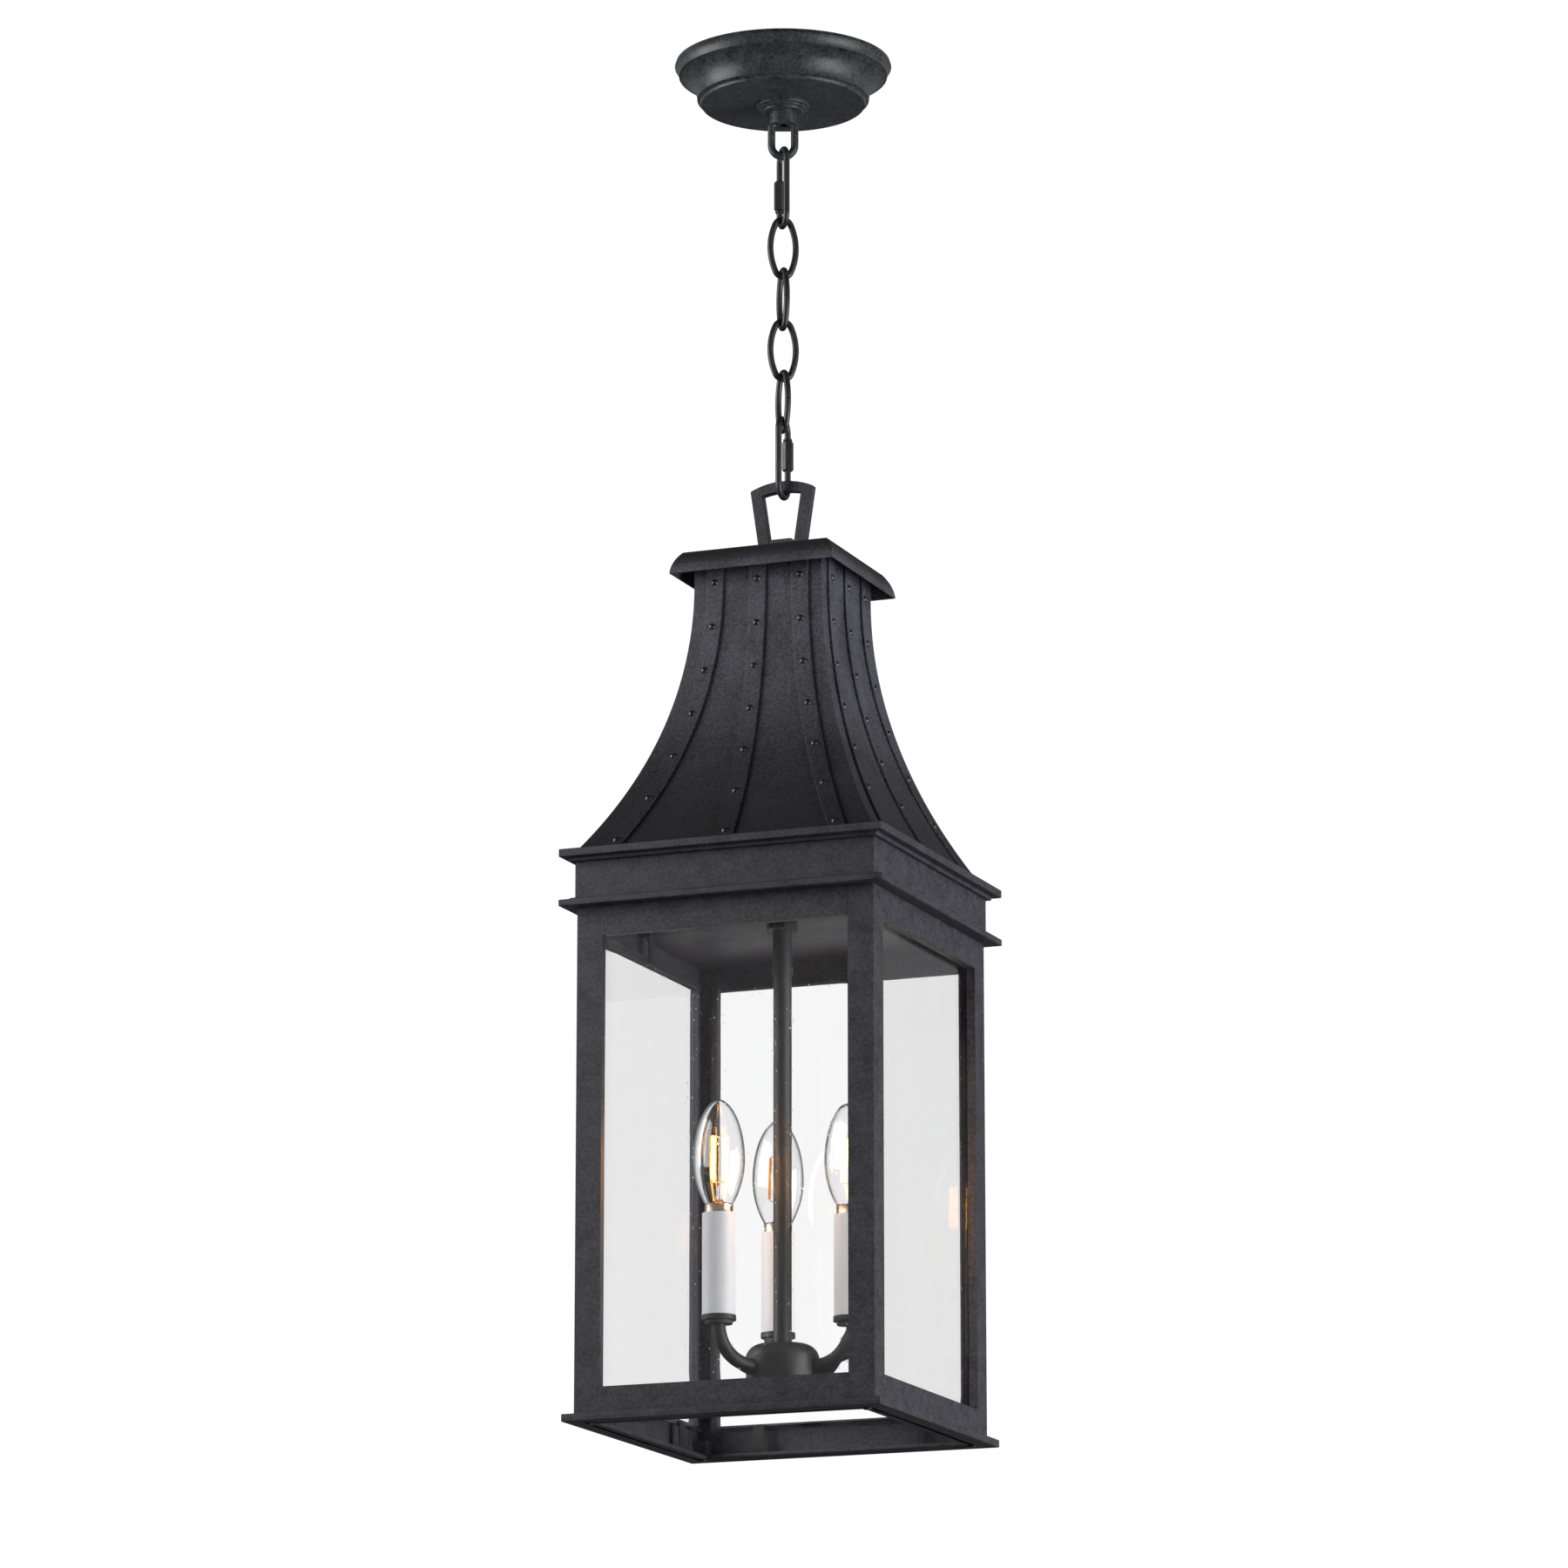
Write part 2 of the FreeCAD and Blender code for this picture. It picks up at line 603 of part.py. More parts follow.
# ---------------------------------------------------------------- bail and roof
def make_bail():
    """Tapered flat-bar bail with an arched top, its lower crossbar, coupling and nipple."""
    shoulder = bail_under + BAIL_BAR - BAIL_ARCH_RISE
    slope = (BAIL_TOP_HALF - BAIL_FOOT_HALF) / (shoulder - bail_foot)

    def outer_half(z):
        return BAIL_FOOT_HALF + slope * (z - bail_foot)

    def inner_half(z):
        return outer_half(z) - BAIL_LEG

    top_z = bail_under - BAIL_UNDER_RISE
    outline = [Part.makeLine(V(-inner_half(bail_foot), 0, bail_foot), V(-BAIL_FOOT_HALF, 0, bail_foot)),
               Part.makeLine(V(-BAIL_FOOT_HALF, 0, bail_foot), V(-BAIL_TOP_HALF, 0, shoulder)),
               Part.Arc(V(-BAIL_TOP_HALF, 0, shoulder), V(0, 0, bail_under + BAIL_BAR),
                        V(BAIL_TOP_HALF, 0, shoulder)).toShape(),
               Part.makeLine(V(BAIL_TOP_HALF, 0, shoulder), V(BAIL_FOOT_HALF, 0, bail_foot)),
               Part.makeLine(V(BAIL_FOOT_HALF, 0, bail_foot), V(inner_half(bail_foot), 0, bail_foot)),
               Part.makeLine(V(inner_half(bail_foot), 0, bail_foot), V(inner_half(top_z), 0, top_z)),
               Part.Arc(V(inner_half(top_z), 0, top_z), V(0, 0, bail_under),
                        V(-inner_half(top_z), 0, top_z)).toShape(),
               Part.makeLine(V(-inner_half(top_z), 0, top_z), V(-inner_half(bail_foot), 0, bail_foot))]
    bail = Part.Face(Part.Wire(outline)).extrude(V(0, BAIL_DEPTH, 0))
    bail.translate(V(0, -BAIL_DEPTH / 2.0, 0))
    save("bail", bail)

    round_z = crossbar_top - CROSSBAR_ROUND
    low, high = inner_half(bail_foot), inner_half(round_z)
    flat = high - CROSSBAR_ROUND
    bar = [Part.makeLine(V(-low, 0, bail_foot), V(low, 0, bail_foot)),
           Part.makeLine(V(low, 0, bail_foot), V(high, 0, round_z)),
           arc(flat, round_z, CROSSBAR_ROUND, 0, 90),
           Part.makeLine(V(flat, 0, crossbar_top), V(-flat, 0, crossbar_top)),
           arc(-flat, round_z, CROSSBAR_ROUND, 90, 180),
           Part.makeLine(V(-high, 0, round_z), V(-low, 0, bail_foot))]
    crossbar = Part.Face(Part.Wire(bar)).extrude(V(0, BAIL_DEPTH, 0))
    crossbar.translate(V(0, -BAIL_DEPTH / 2.0, 0))
    save("bail_crossbar", crossbar)

    nipple_top = cap_top + COUPLING_THREAD
    coupling = rod(COUPLING_R, cap_top, bail_foot)
    coupling = coupling.cut(rod(NIPPLE_R + THREAD_FIT, cap_top, nipple_top))
    coupling = coupling.cut(rod(NIPPLE_BORE_R, cap_top, bail_foot - COUPLING_ROOF))
    wire_hole_z = (nipple_top + bail_foot - COUPLING_ROOF) / 2.0
    coupling = coupling.cut(Part.makeCylinder(WIRE_HOLE_R, COUPLING_R + 1, V(0, 0, wire_hole_z),
                                              V(0, 1, 0)))
    save("bail_coupling", coupling)
    save("roof_nipple", tube(NIPPLE_R, NIPPLE_BORE_R, nipple_top - ROOF_NIPPLE_LENGTH, nipple_top))
    nut_top = cap_top - CAP_WALL
    save("roof_locknut", hexagon(LOCKNUT_FLATS, nut_top - LOCKNUT_THICK, nut_top,
                                 NIPPLE_R + THREAD_FIT))


def make_roof_cap():
    """Square pressed cap: flat top and rounded sides that overhang the roof."""
    wall = CAP_WALL
    side_run = CAP_FOOT_HALF - CAP_TOP_HALF

    def side_arc(inset, lower):
        top = V(0, -(CAP_TOP_HALF - inset), cap_top - lower)
        middle = V(0, -(CAP_TOP_HALF + 0.62 * side_run - inset), cap_top - 0.40 * CAP_H - lower * 0.5)
        foot = V(0, -(CAP_FOOT_HALF - inset), cap_foot)
        return top, middle, foot

    top, middle, foot = side_arc(0.0, 0.0)
    top_in, middle_in, foot_in = side_arc(wall, wall)
    edges = [Part.Arc(foot, middle, top).toShape(),
             Part.makeLine(top, V(0, 0, cap_top)),
             Part.makeLine(V(0, 0, cap_top), V(0, 0, cap_top - wall)),
             Part.makeLine(V(0, 0, cap_top - wall), top_in),
             Part.Arc(top_in, middle_in, foot_in).toShape(),
             Part.makeLine(foot_in, foot)]
    quarter = front_strip(edges, CAP_FOOT_HALF + 5, cap_foot - 1, cap_top + 1)
    cap = fused(four(quarter))
    save("roof_cap", cap.cut(rod(NIPPLE_R + DROP_IN, cap_foot, cap_top + 1)))


def roof_layer(near, far, top):
    """Edges of the YZ section of a curved layer between two distances proud of the sheet."""
    def neck(proud, z):
        return V(0, -(ROOF_TOP_HALF + proud), z)

    def along(proud, z):
        return V(0, -roof_half(z, proud), z)

    middle = flare_top - 0.55 * ROOF_FLARE_H
    return [Part.makeLine(neck(far, top), neck(far, flare_top)),
            Part.Arc(neck(far, flare_top), along(far, middle), along(far, cornice_top)).toShape(),
            Part.makeLine(along(far, cornice_top), along(near, cornice_top)),
            Part.Arc(along(near, cornice_top), along(near, middle), neck(near, flare_top)).toShape(),
            Part.makeLine(neck(near, flare_top), neck(near, top)),
            Part.makeLine(neck(near, top), neck(far, top))]


def face_outline(left, right):
    """Prism across Y, bounded by two curves x = left(z) and x = right(z) of the roof face."""
    middle = flare_top - 0.55 * ROOF_FLARE_H

    def point(curve, z):
        return V(curve(z), -FLANGE_HALF - 10, z)

    edges = [Part.makeLine(point(left, roof_peak), point(left, flare_top)),
             Part.Arc(point(left, flare_top), point(left, middle), point(left, cornice_top)).toShape(),
             Part.makeLine(point(left, cornice_top), point(right, cornice_top)),
             Part.Arc(point(right, cornice_top), point(right, middle), point(right, flare_top)).toShape(),
             Part.makeLine(point(right, flare_top), point(right, roof_peak)),
             Part.makeLine(point(right, roof_peak), point(left, roof_peak))]
    return Part.Face(Part.Wire(edges)).extrude(V(0, FLANGE_HALF + 10, 0))


def make_roof():
    """Four flared panels with three riveted bands on each."""
    reach = FLANGE_HALF + 5
    wedge = front_wedge(reach, cornice_top - 1, roof_peak + 1)
    panel = Part.Face(Part.Wire(roof_layer(-ROOF_WALL, 0.0, roof_peak)))
    panel.translate(V(-reach, 0, 0))
    panel = panel.extrude(V(2 * reach, 0, 0)).common(wedge)
    for side, copy in zip(("front", "right", "back", "left"), four(panel)):
        save("roof_panel_" + side, copy)

    layer = Part.Face(Part.Wire(roof_layer(0.0, STRAP_BAND_THICK, roof_peak)))
    layer.translate(V(-reach, 0, 0))
    layer = layer.extrude(V(2 * reach, 0, 0))
    half = STRAP_BAND_W / 2.0
    centre = block(-half, half, -reach, 0, cornice_top, roof_peak)
    side_outline = face_outline(lambda z: band_x(z) - half, lambda z: band_x(z) + half)
    bands = [layer.common(centre), layer.common(side_outline)]
    bands.append(bands[1].mirror(ORIGIN, V(1, 0, 0)))
    save("roof_straps", [copy for band in bands for copy in four(band)])

    sphere_r = (RIVET_R ** 2 + RIVET_H ** 2) / (2.0 * RIVET_H)
    latitude = math.degrees(math.asin((sphere_r - RIVET_H) / sphere_r))
    dome = Part.makeSphere(sphere_r, ORIGIN, UP, latitude, 90, 360)
    dome.translate(V(0, 0, RIVET_H - sphere_r + SKIM))
    rivets = []
    for row in range(RIVET_COUNT):
        z = flare_top - row * RIVET_PITCH
        lean = math.degrees(math.asin((flare_top - z) / (flare_r - STRAP_BAND_THICK)))
        head = dome.copy()
        head.rotate(ORIGIN, V(1, 0, 0), 90 - lean)
        for x in (0.0, band_x(z), -band_x(z)):
            placed = head.copy()
            placed.translate(V(x, -roof_half(z, STRAP_BAND_THICK), z))
            rivets += four(placed)
    save("roof_rivets", rivets)


# ---------------------------------------------------------------- cornices and body
def make_cornices():
    """Upper flange with its bead, the frieze boards, and the lower flange with its step."""
    reach = FLANGE_HALF + 5
    inner = CORNICE_INNER_HALF
    upper = [(FLANGE_HALF, cornice_top), (FLANGE_HALF, flange_foot), (BEAD_HALF, flange_foot),
             (BEAD_HALF, frieze_top), (inner, frieze_top), (inner, cornice_top)]
    lower = [(STEP_HALF, frieze_foot), (STEP_HALF, lower_flange_top), (FLANGE_HALF, lower_flange_top),
             (FLANGE_HALF, body_top), (inner, body_top), (inner, frieze_foot)]
    frieze = [(FRIEZE_HALF, frieze_top), (FRIEZE_HALF, frieze_foot),
              (FRIEZE_HALF - SHEET, frieze_foot), (FRIEZE_HALF - SHEET, frieze_top)]
    for name, section in (("cornice", upper), ("frieze", frieze), ("lower_cornice", lower)):
        strip = front_strip(straight_section(section), reach, body_top - 1, cornice_top + 1)
        save(name, four(strip))


def make_body_frame():
    """Corner posts and rails of folded sheet, with a lip round each window.

    Each post stands on a tapped block that takes the bottom frame's screw."""
    inner_lip = BODY_HALF - LIP_DEPTH
    fold = window_half + SHEET
    walls = [V(BODY_HALF, BODY_HALF, 0), V(window_half, BODY_HALF, 0),
             V(window_half, body_inside, 0), V(body_inside, body_inside, 0),
             V(body_inside, window_half, 0), V(BODY_HALF, window_half, 0)]
    angle = raised(Part.Face(polygon(walls)).extrude(V(0, 0, BODY_H)), body_foot)
    lip = block(window_half, fold, inner_lip, body_inside, window_foot, window_top)
    other_lip = block(inner_lip, body_inside, window_half, fold, window_foot, window_top)
    near = body_inside - SCREW_BLOCK
    tapped = block(near, body_inside, near, body_inside, body_foot, body_foot + SCREW_BLOCK)
    tapped = tapped.cut(rod(BOTTOM_SCREW_R + THREAD_FIT, body_foot, body_foot + SCREW_BLOCK - 1.5,
                            BOTTOM_SCREW_AT, BOTTOM_SCREW_AT))
    save("corner_posts", four(fused([angle, lip, other_lip, tapped])))

    def rail(outer_z, window_z):
        away = SHEET if outer_z > window_z else -SHEET
        points = [(BODY_HALF, outer_z), (BODY_HALF, window_z), (inner_lip, window_z),
                  (inner_lip, window_z + away), (body_inside, window_z + away),
                  (body_inside, outer_z)]
        face = Part.Face(Part.Wire(straight_section(points)))
        face.translate(V(-window_half, 0, 0))
        return face.extrude(V(2 * window_half, 0, 0))

    save("window_top_rails", four(rail(body_top, window_top)))
    save("window_bottom_rails", four(rail(body_foot, window_foot)))


def make_glass():
    """Four loose panes behind the lips, and the bent clips that hold them."""
    half = window_half + GLASS_LAP
    pane = block(-half, half, -glass_face, -glass_back, window_foot - GLASS_LAP,
                 window_top + GLASS_LAP)
    for side, copy in zip(("front", "right", "back", "left"), four(pane)):
        save("glass_" + side, copy)

    pane_foot, pane_top = window_foot - GLASS_LAP, window_top + GLASS_LAP
    clips = []
    for x in (-CLIP_SPREAD, CLIP_SPREAD):
        foot = block(x - CLIP_W / 2, x + CLIP_W / 2, -body_inside, -glass_back, body_foot,
                     body_foot + CLIP_THICK)
        tab = block(x - CLIP_W / 2, x + CLIP_W / 2, -glass_back, -glass_back + CLIP_THICK,
                    body_foot, pane_foot + CLIP_REACH)
        clips += four(fused([foot, tab]))
    foot = block(-CLIP_W / 2, CLIP_W / 2, -body_inside, -glass_back, plate_foot - CLIP_THICK,
                 plate_foot)
    tab = block(-CLIP_W / 2, CLIP_W / 2, -glass_back, -glass_back + CLIP_THICK,
                pane_top - CLIP_REACH, plate_foot)
    clips += four(fused([foot, tab]))
    save("glass_clips", clips)


def make_bottom():
    """Flange round the foot of the body, the open frame screwed inside it, and its screws."""
    reach = BOTTOM_FLANGE_HALF + 5
    flange = [(BOTTOM_FLANGE_HALF, bottom + BOTTOM_FLANGE_H), (BOTTOM_FLANGE_HALF, bottom),
              (BODY_HALF, bottom), (BODY_HALF, bottom + BOTTOM_FLANGE_H)]
    outer = BODY_HALF - BOTTOM_FRAME_GAP
    frame = [(outer, body_foot), (outer, bottom), (BOTTOM_FRAME_INNER_HALF, bottom),
             (BOTTOM_FRAME_INNER_HALF, body_foot)]
    strips = [front_strip(straight_section(section), reach, bottom - 1, body_foot + BOTTOM_FLANGE_H)
              for section in (flange, frame)]
    save("bottom_flange", four(strips[0]))
    at = BOTTOM_SCREW_AT
    for x in (-at, at):
        strips[1] = strips[1].cut(rod(BOTTOM_SCREW_R + THREAD_FIT, bottom - 1, body_foot + 1, x, -at))
    save("bottom_frame", four(strips[1]))

    head = rod(BOTTOM_SCREW_HEAD_R, bottom - BOTTOM_SCREW_HEAD_H, bottom, at, -at)
    head = head.makeFillet(0.6, [e for e in head.Edges
                                 if e.Closed and e.BoundBox.ZMax < bottom - 0.5])
    cross = [block(at - 1.4, at + 1.4, -at - 0.3, -at + 0.3, bottom - 2, bottom - 0.5),
             block(at - 0.3, at + 0.3, -at - 1.4, -at + 1.4, bottom - 2, bottom - 0.5)]
    shank = rod(BOTTOM_SCREW_R, bottom, bottom + BOTTOM_SCREW_LENGTH, at, -at)
    screw = fused([head.cut(cross[0]).cut(cross[1]), shank])
    save("bottom_screws", four(screw))


# ---------------------------------------------------------------- candle cluster
def make_stem():
    """Ceiling plate, nut, coupling and long stem down to the hub."""
    half = body_inside
    plate = block(-half, half, -half, half, plate_foot, body_top)
    spigot_r = STEM_COUPLING_R - 2.0
    save("ceiling_plate", plate.cut(rod(spigot_r + THREAD_FIT, plate_foot - 1, body_top + 1)))
    bore = spigot_r + THREAD_FIT
    save("stem_nuts", [hexagon(STEM_NUT_FLATS, stem_nut_foot, plate_foot, bore),
                       hexagon(STEM_NUT_FLATS, body_top, body_top + STEM_NUT_H, bore)])
    coupling = fused([rod(spigot_r, stem_nut_foot, body_top + STEM_NUT_H + 1.0),
                      rod(STEM_COUPLING_R, stem_collar_top, stem_nut_foot),
                      rod(STEM_COLLAR_R, stem_top, stem_collar_top)])
    coupling = coupling.cut(rod(NIPPLE_BORE_R, stem_top - 1, body_top + STEM_NUT_H + 2))
    save("stem_coupling", coupling)
    save("stem", tube(STEM_R, STEM_BORE_R, hub_top, stem_top))


def make_hub():
    """Hollow turned hub with holes for the arms, closed by a finial plug."""
    wall = HUB_WALL
    shoulder = hub_top - HUB_SHOULDER_H
    outline = [(STEM_BORE_R, hub_top), (STEM_BORE_R, hub_top - wall),
               (HUB_TOP_R - 0.4, hub_top - wall), (HUB_R - wall, shoulder - 0.4, 1.5),
               (HUB_R - wall, hub_foot), (HUB_R, hub_foot), (HUB_R, shoulder),
               (HUB_TOP_R, hub_top, -2.0)]
    hub = turned(outline)
    for angle in arm_angles():
        hole = Part.makeCylinder(ARM_R + THREAD_FIT, HUB_R + 5, V(0, 0, arm_level), V(1, 0, 0))
        hub = hub.cut(spun(hole, angle))
    save("hub", hub)

    inside = HUB_R - wall - THREAD_FIT
    finial_foot = hub_foot - HUB_FINIAL_H
    plug = [(0, hub_foot + 1.5), (inside, hub_foot + 1.5), (inside, hub_foot),
            (HUB_R, hub_foot), (HUB_R - 1.5, hub_foot - 1.8, -0.4),
            (HUB_FINIAL_R, hub_foot - 2.6), (HUB_FINIAL_R - 1.5, finial_foot, -1.4),
            (0, finial_foot)]
    save("hub_finial", turned(plug[::-1]))


def arm_angles():
    """Directions of the arms about the stem, in degrees from +X."""
    return [ARM_FIRST_ANGLE + 360.0 / ARM_COUNT * i for i in range(ARM_COUNT)]


def make_arms():
    """Bent tubes from the hub to the candles, with their turned cups."""
    bend_x = ARM_REACH - ARM_BEND_R
    edges = [Part.makeLine(V(HUB_R - ARM_TUCK, 0, arm_level), V(bend_x, 0, arm_level)),
             arc(bend_x, arm_level + ARM_BEND_R, ARM_BEND_R, -90, 0)]
    arm = swept(edges, ARM_R).cut(swept(edges, ARM_BORE_R))
    save("candle_arms", [spun(arm, angle) for angle in arm_angles()])

    cup = fused([rod(CUP_FOOT_R, cup_foot, cup_step, ARM_REACH),
                 rod(CUP_R, cup_step, cup_top, ARM_REACH)])
    cup = cup.cut(rod(ARM_BORE_R, cup_foot - 1, cup_top + 1, ARM_REACH))
    save("candle_cups", [spun(cup, angle) for angle in arm_angles()])


def make_candles():
    """White candle sleeves with a lampholder inside each."""
    sleeve = tube(CANDLE_R, CANDLE_R - CANDLE_WALL, cup_top, candle_top, ARM_REACH)
    save("candle_sleeves", [spun(sleeve, angle) for angle in arm_angles()])

    socket_top = candle_top - SEAT_GAP
    holder = rod(CANDLE_R - CANDLE_WALL - DROP_IN, cup_top, socket_top, ARM_REACH)
    bore = BULB_SHELL_R + SOCKET_PLAY
    holder = holder.cut(rod(bore, socket_top - SOCKET_DEPTH, socket_top + 1, ARM_REACH))
    holder = holder.cut(rod(ARM_BORE_R, cup_top - 1, socket_top - SOCKET_DEPTH - 2, ARM_REACH))
    save("lamp_sockets", [spun(holder, angle) for angle in arm_angles()])


def bulb_outline(inset):
    """Half outline of the candle-shaped glass from its neck to its tip, as BSpline points."""
    neck, belly, rise = BULB_NECK_R - inset, BULB_R - inset, BULB_H - inset
    shares = ((0.0, neck), (0.13, neck + 0.42 * (belly - neck)),
              (BULB_WIDEST_H / BULB_H, belly), (0.62, 0.80 * belly), (0.82, 0.43 * belly),
              (0.95, 0.14 * belly), (1.0, 0.0))
    return [V(radius, 0, collar_top + share * rise) for share, radius in shares]


def glass_solid(inset):
    """Solid of revolution of the bulb's outline."""
    points = bulb_outline(inset)
    curve = Part.BSplineCurve()
    curve.interpolate(points)
    edges = [curve.toShape(), Part.makeLine(points[-1], V(0, 0, collar_top)),
             Part.makeLine(V(0, 0, collar_top), points[0])]
    return Part.Face(Part.Wire(edges)).revolve(ORIGIN, UP, 360)


def make_bulbs():
    """Screw base with its collar, glass envelope and filament frame of each bulb."""
    glass = glass_solid(0.0).cut(glass_solid(BULB_WALL))
    shell_foot = candle_top - BULB_SHELL_H
    base = turned([(0, collar_top), (BULB_COLLAR_R - 0.8, collar_top),
                   (BULB_COLLAR_R, collar_top - 0.8, 0.2), (BULB_COLLAR_R, candle_top),
                   (BULB_SHELL_R, candle_top), (BULB_SHELL_R, shell_foot + 2.0),
                   (BULB_SHELL_R - 2.5, shell_foot), (2.0, shell_foot), (1.5, shell_foot - 1.5),
                   (0, shell_foot - 1.5)][::-1])

    foot_z = collar_top + FILAMENT_FOOT_H
    top_z = foot_z + FILAMENT_LENGTH
    frame = [rod(2.6, collar_top, foot_z - 6.0), rod(0.6, foot_z - 6.0, top_z),
             rod(FILAMENT_TOP_SPREAD + 0.8, top_z - 0.2, top_z + 0.6),
             rod(FILAMENT_FOOT_SPREAD + 0.8, foot_z - 0.6, foot_z + 0.2)]
    for i in range(FILAMENT_COUNT):
        angle = 2 * math.pi * i / FILAMENT_COUNT
        foot = V(FILAMENT_FOOT_SPREAD * math.cos(angle), FILAMENT_FOOT_SPREAD * math.sin(angle), foot_z)
        tip = V(FILAMENT_TOP_SPREAD * math.cos(angle), FILAMENT_TOP_SPREAD * math.sin(angle), top_z)
        run = tip - foot
        frame.append(Part.makeCylinder(FILAMENT_R, run.Length, foot, run))
    filament = fused(frame)

    for number, angle in enumerate(arm_angles(), start=1):
        for name, piece in (("bulb_glass_", glass), ("bulb_base_", base), ("bulb_filament_", filament)):
            copy = piece.copy()
            copy.translate(V(ARM_REACH, 0, 0))
            save(name + str(number), spun(copy, angle))


def main():
    """Build every piece."""
    os.makedirs("parts", exist_ok=True)
    make_ceiling_fixing()
    make_canopy()
    make_canopy_loop()
    make_chain()
    make_bail()
    make_roof_cap()
    make_roof()
    make_cornices()
    make_body_frame()
    make_glass()
    make_bottom()
    make_stem()
    make_hub()
    make_arms()
    make_candles()
    make_bulbs()
    print("pivots mm: loop %.3f upper quick %.3f links %s lower quick %.3f" % (
        loop_foot, upper_quick_foot, ["%.3f" % z for z in link_feet], lower_quick_foot))
    print("cornice %.3f body %.3f to %.3f bottom %.3f" % (cornice_top, body_top, body_foot, bottom))


main()
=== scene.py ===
"""Looks of a hanging lantern.

A spun ceiling canopy carries a short chain of oval links between two screw-sleeve quick
links. The lantern below has a pressed cap, a flared sheet-iron roof with riveted straps, two
cornices round a plain frieze, and a glazed square body. Three candle tubes with clear bulbs
stand on bent arms round a hub, and the foot is open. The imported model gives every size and
place; this file rounds its edges, builds the glass, the bulbs and the fine trim, and gives
every surface its finish.
"""

import json
import logging
import math
from collections.abc import Iterable, Sequence
from dataclasses import dataclass
from enum import Enum

import bmesh
import bpy
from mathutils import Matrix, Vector, noise

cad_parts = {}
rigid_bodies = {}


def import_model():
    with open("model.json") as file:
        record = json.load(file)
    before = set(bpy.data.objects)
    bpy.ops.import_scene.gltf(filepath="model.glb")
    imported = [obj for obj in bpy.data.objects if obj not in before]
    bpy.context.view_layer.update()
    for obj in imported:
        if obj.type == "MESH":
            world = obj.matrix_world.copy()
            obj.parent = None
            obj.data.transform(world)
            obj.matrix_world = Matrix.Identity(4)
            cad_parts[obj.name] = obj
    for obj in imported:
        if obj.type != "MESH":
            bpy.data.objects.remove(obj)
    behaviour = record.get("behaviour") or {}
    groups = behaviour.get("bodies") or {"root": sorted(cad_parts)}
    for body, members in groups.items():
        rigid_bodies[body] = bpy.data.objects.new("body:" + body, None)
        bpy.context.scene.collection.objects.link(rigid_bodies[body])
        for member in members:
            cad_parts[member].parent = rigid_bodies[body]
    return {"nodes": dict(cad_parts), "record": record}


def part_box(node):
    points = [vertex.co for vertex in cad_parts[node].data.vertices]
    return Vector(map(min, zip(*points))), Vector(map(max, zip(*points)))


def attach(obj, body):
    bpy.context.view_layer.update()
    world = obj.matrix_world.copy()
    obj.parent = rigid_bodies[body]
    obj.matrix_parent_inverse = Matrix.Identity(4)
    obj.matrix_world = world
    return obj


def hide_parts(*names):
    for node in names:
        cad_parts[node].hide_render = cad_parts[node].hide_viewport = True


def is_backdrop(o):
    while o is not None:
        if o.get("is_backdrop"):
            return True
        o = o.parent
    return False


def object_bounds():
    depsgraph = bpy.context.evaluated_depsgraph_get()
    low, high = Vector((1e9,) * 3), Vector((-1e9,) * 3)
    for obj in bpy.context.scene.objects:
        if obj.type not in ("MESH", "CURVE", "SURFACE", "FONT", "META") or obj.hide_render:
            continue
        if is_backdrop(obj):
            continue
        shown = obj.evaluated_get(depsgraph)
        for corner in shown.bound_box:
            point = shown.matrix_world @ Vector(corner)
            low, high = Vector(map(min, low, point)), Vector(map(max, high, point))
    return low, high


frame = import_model()

LOG = logging.getLogger("lantern")
MM = 0.001
WELD_MM = 0.002
MITRE_MM = 0.02
EASED_ANGLE = math.radians(28)
SIDES = ("front", "right", "back", "left")
Colour = tuple[float, float, float, float]


# ------------------------------------------------------------------ colour and shader tools
def linear(code: str) -> Colour:
    """Turns an sRGB hex code into linear light.

    Args:
        code: Six hex digits after a hash sign.

    Returns:
        Red, green and blue in linear light, and an alpha of one.
    """
    shares = [int(code[i:i + 2], 16) / 255 for i in (1, 3, 5)]
    red, green, blue = (s / 12.92 if s <= 0.04045 else ((s + 0.055) / 1.055) ** 2.4 for s in shares)
    return red, green, blue, 1.0


def per_mm(size: float) -> float:
    """Texture scale whose features are about this many millimetres across."""
    return 1.0 / (size * MM)


def add(material: bpy.types.Material, kind: str, inputs: dict | None = None,
        **settings: object) -> bpy.types.Node:
    """Adds one shader node.

    Args:
        material: The material, or the world, whose tree gets the node.
        kind: The node's type name without its "ShaderNode" start.
        inputs: Input name or number to an output socket, which is linked, or to a value.
        **settings: The node's own properties.

    Returns:
        The new node.
    """
    tree = material.node_tree
    node = tree.nodes.new("ShaderNode" + kind)
    for name, value in settings.items():
        setattr(node, name, value)
    for key, value in (inputs or {}).items():
        if isinstance(value, bpy.types.NodeSocket):
            tree.links.new(value, node.inputs[key])
        else:
            node.inputs[key].default_value = value
    return node


def fresh_material(name: str) -> bpy.types.Material:
    """Makes a node material with an empty tree."""
    material = bpy.data.materials.new(name)
    material.use_nodes = True
    material.node_tree.nodes.clear()
    return material


def ramp(material: bpy.types.Material, factor: bpy.types.NodeSocket,
         stops: Sequence[tuple[float, Colour]]) -> bpy.types.NodeSocket:
    """Colour ramp over a factor.

    Args:
        material: The material that holds the node.
        factor: What the ramp reads.
        stops: Position and linear colour of each stop, in rising order.

    Returns:
        The ramp's colour output.
    """
    node = add(material, "ValToRGB", {"Fac": factor})
    points = node.color_ramp.elements
    while len(points) < len(stops):
        points.new(1.0)
    for point, (position, colour) in zip(points, stops):
        point.position, point.color = position, colour
    return node.outputs["Color"]


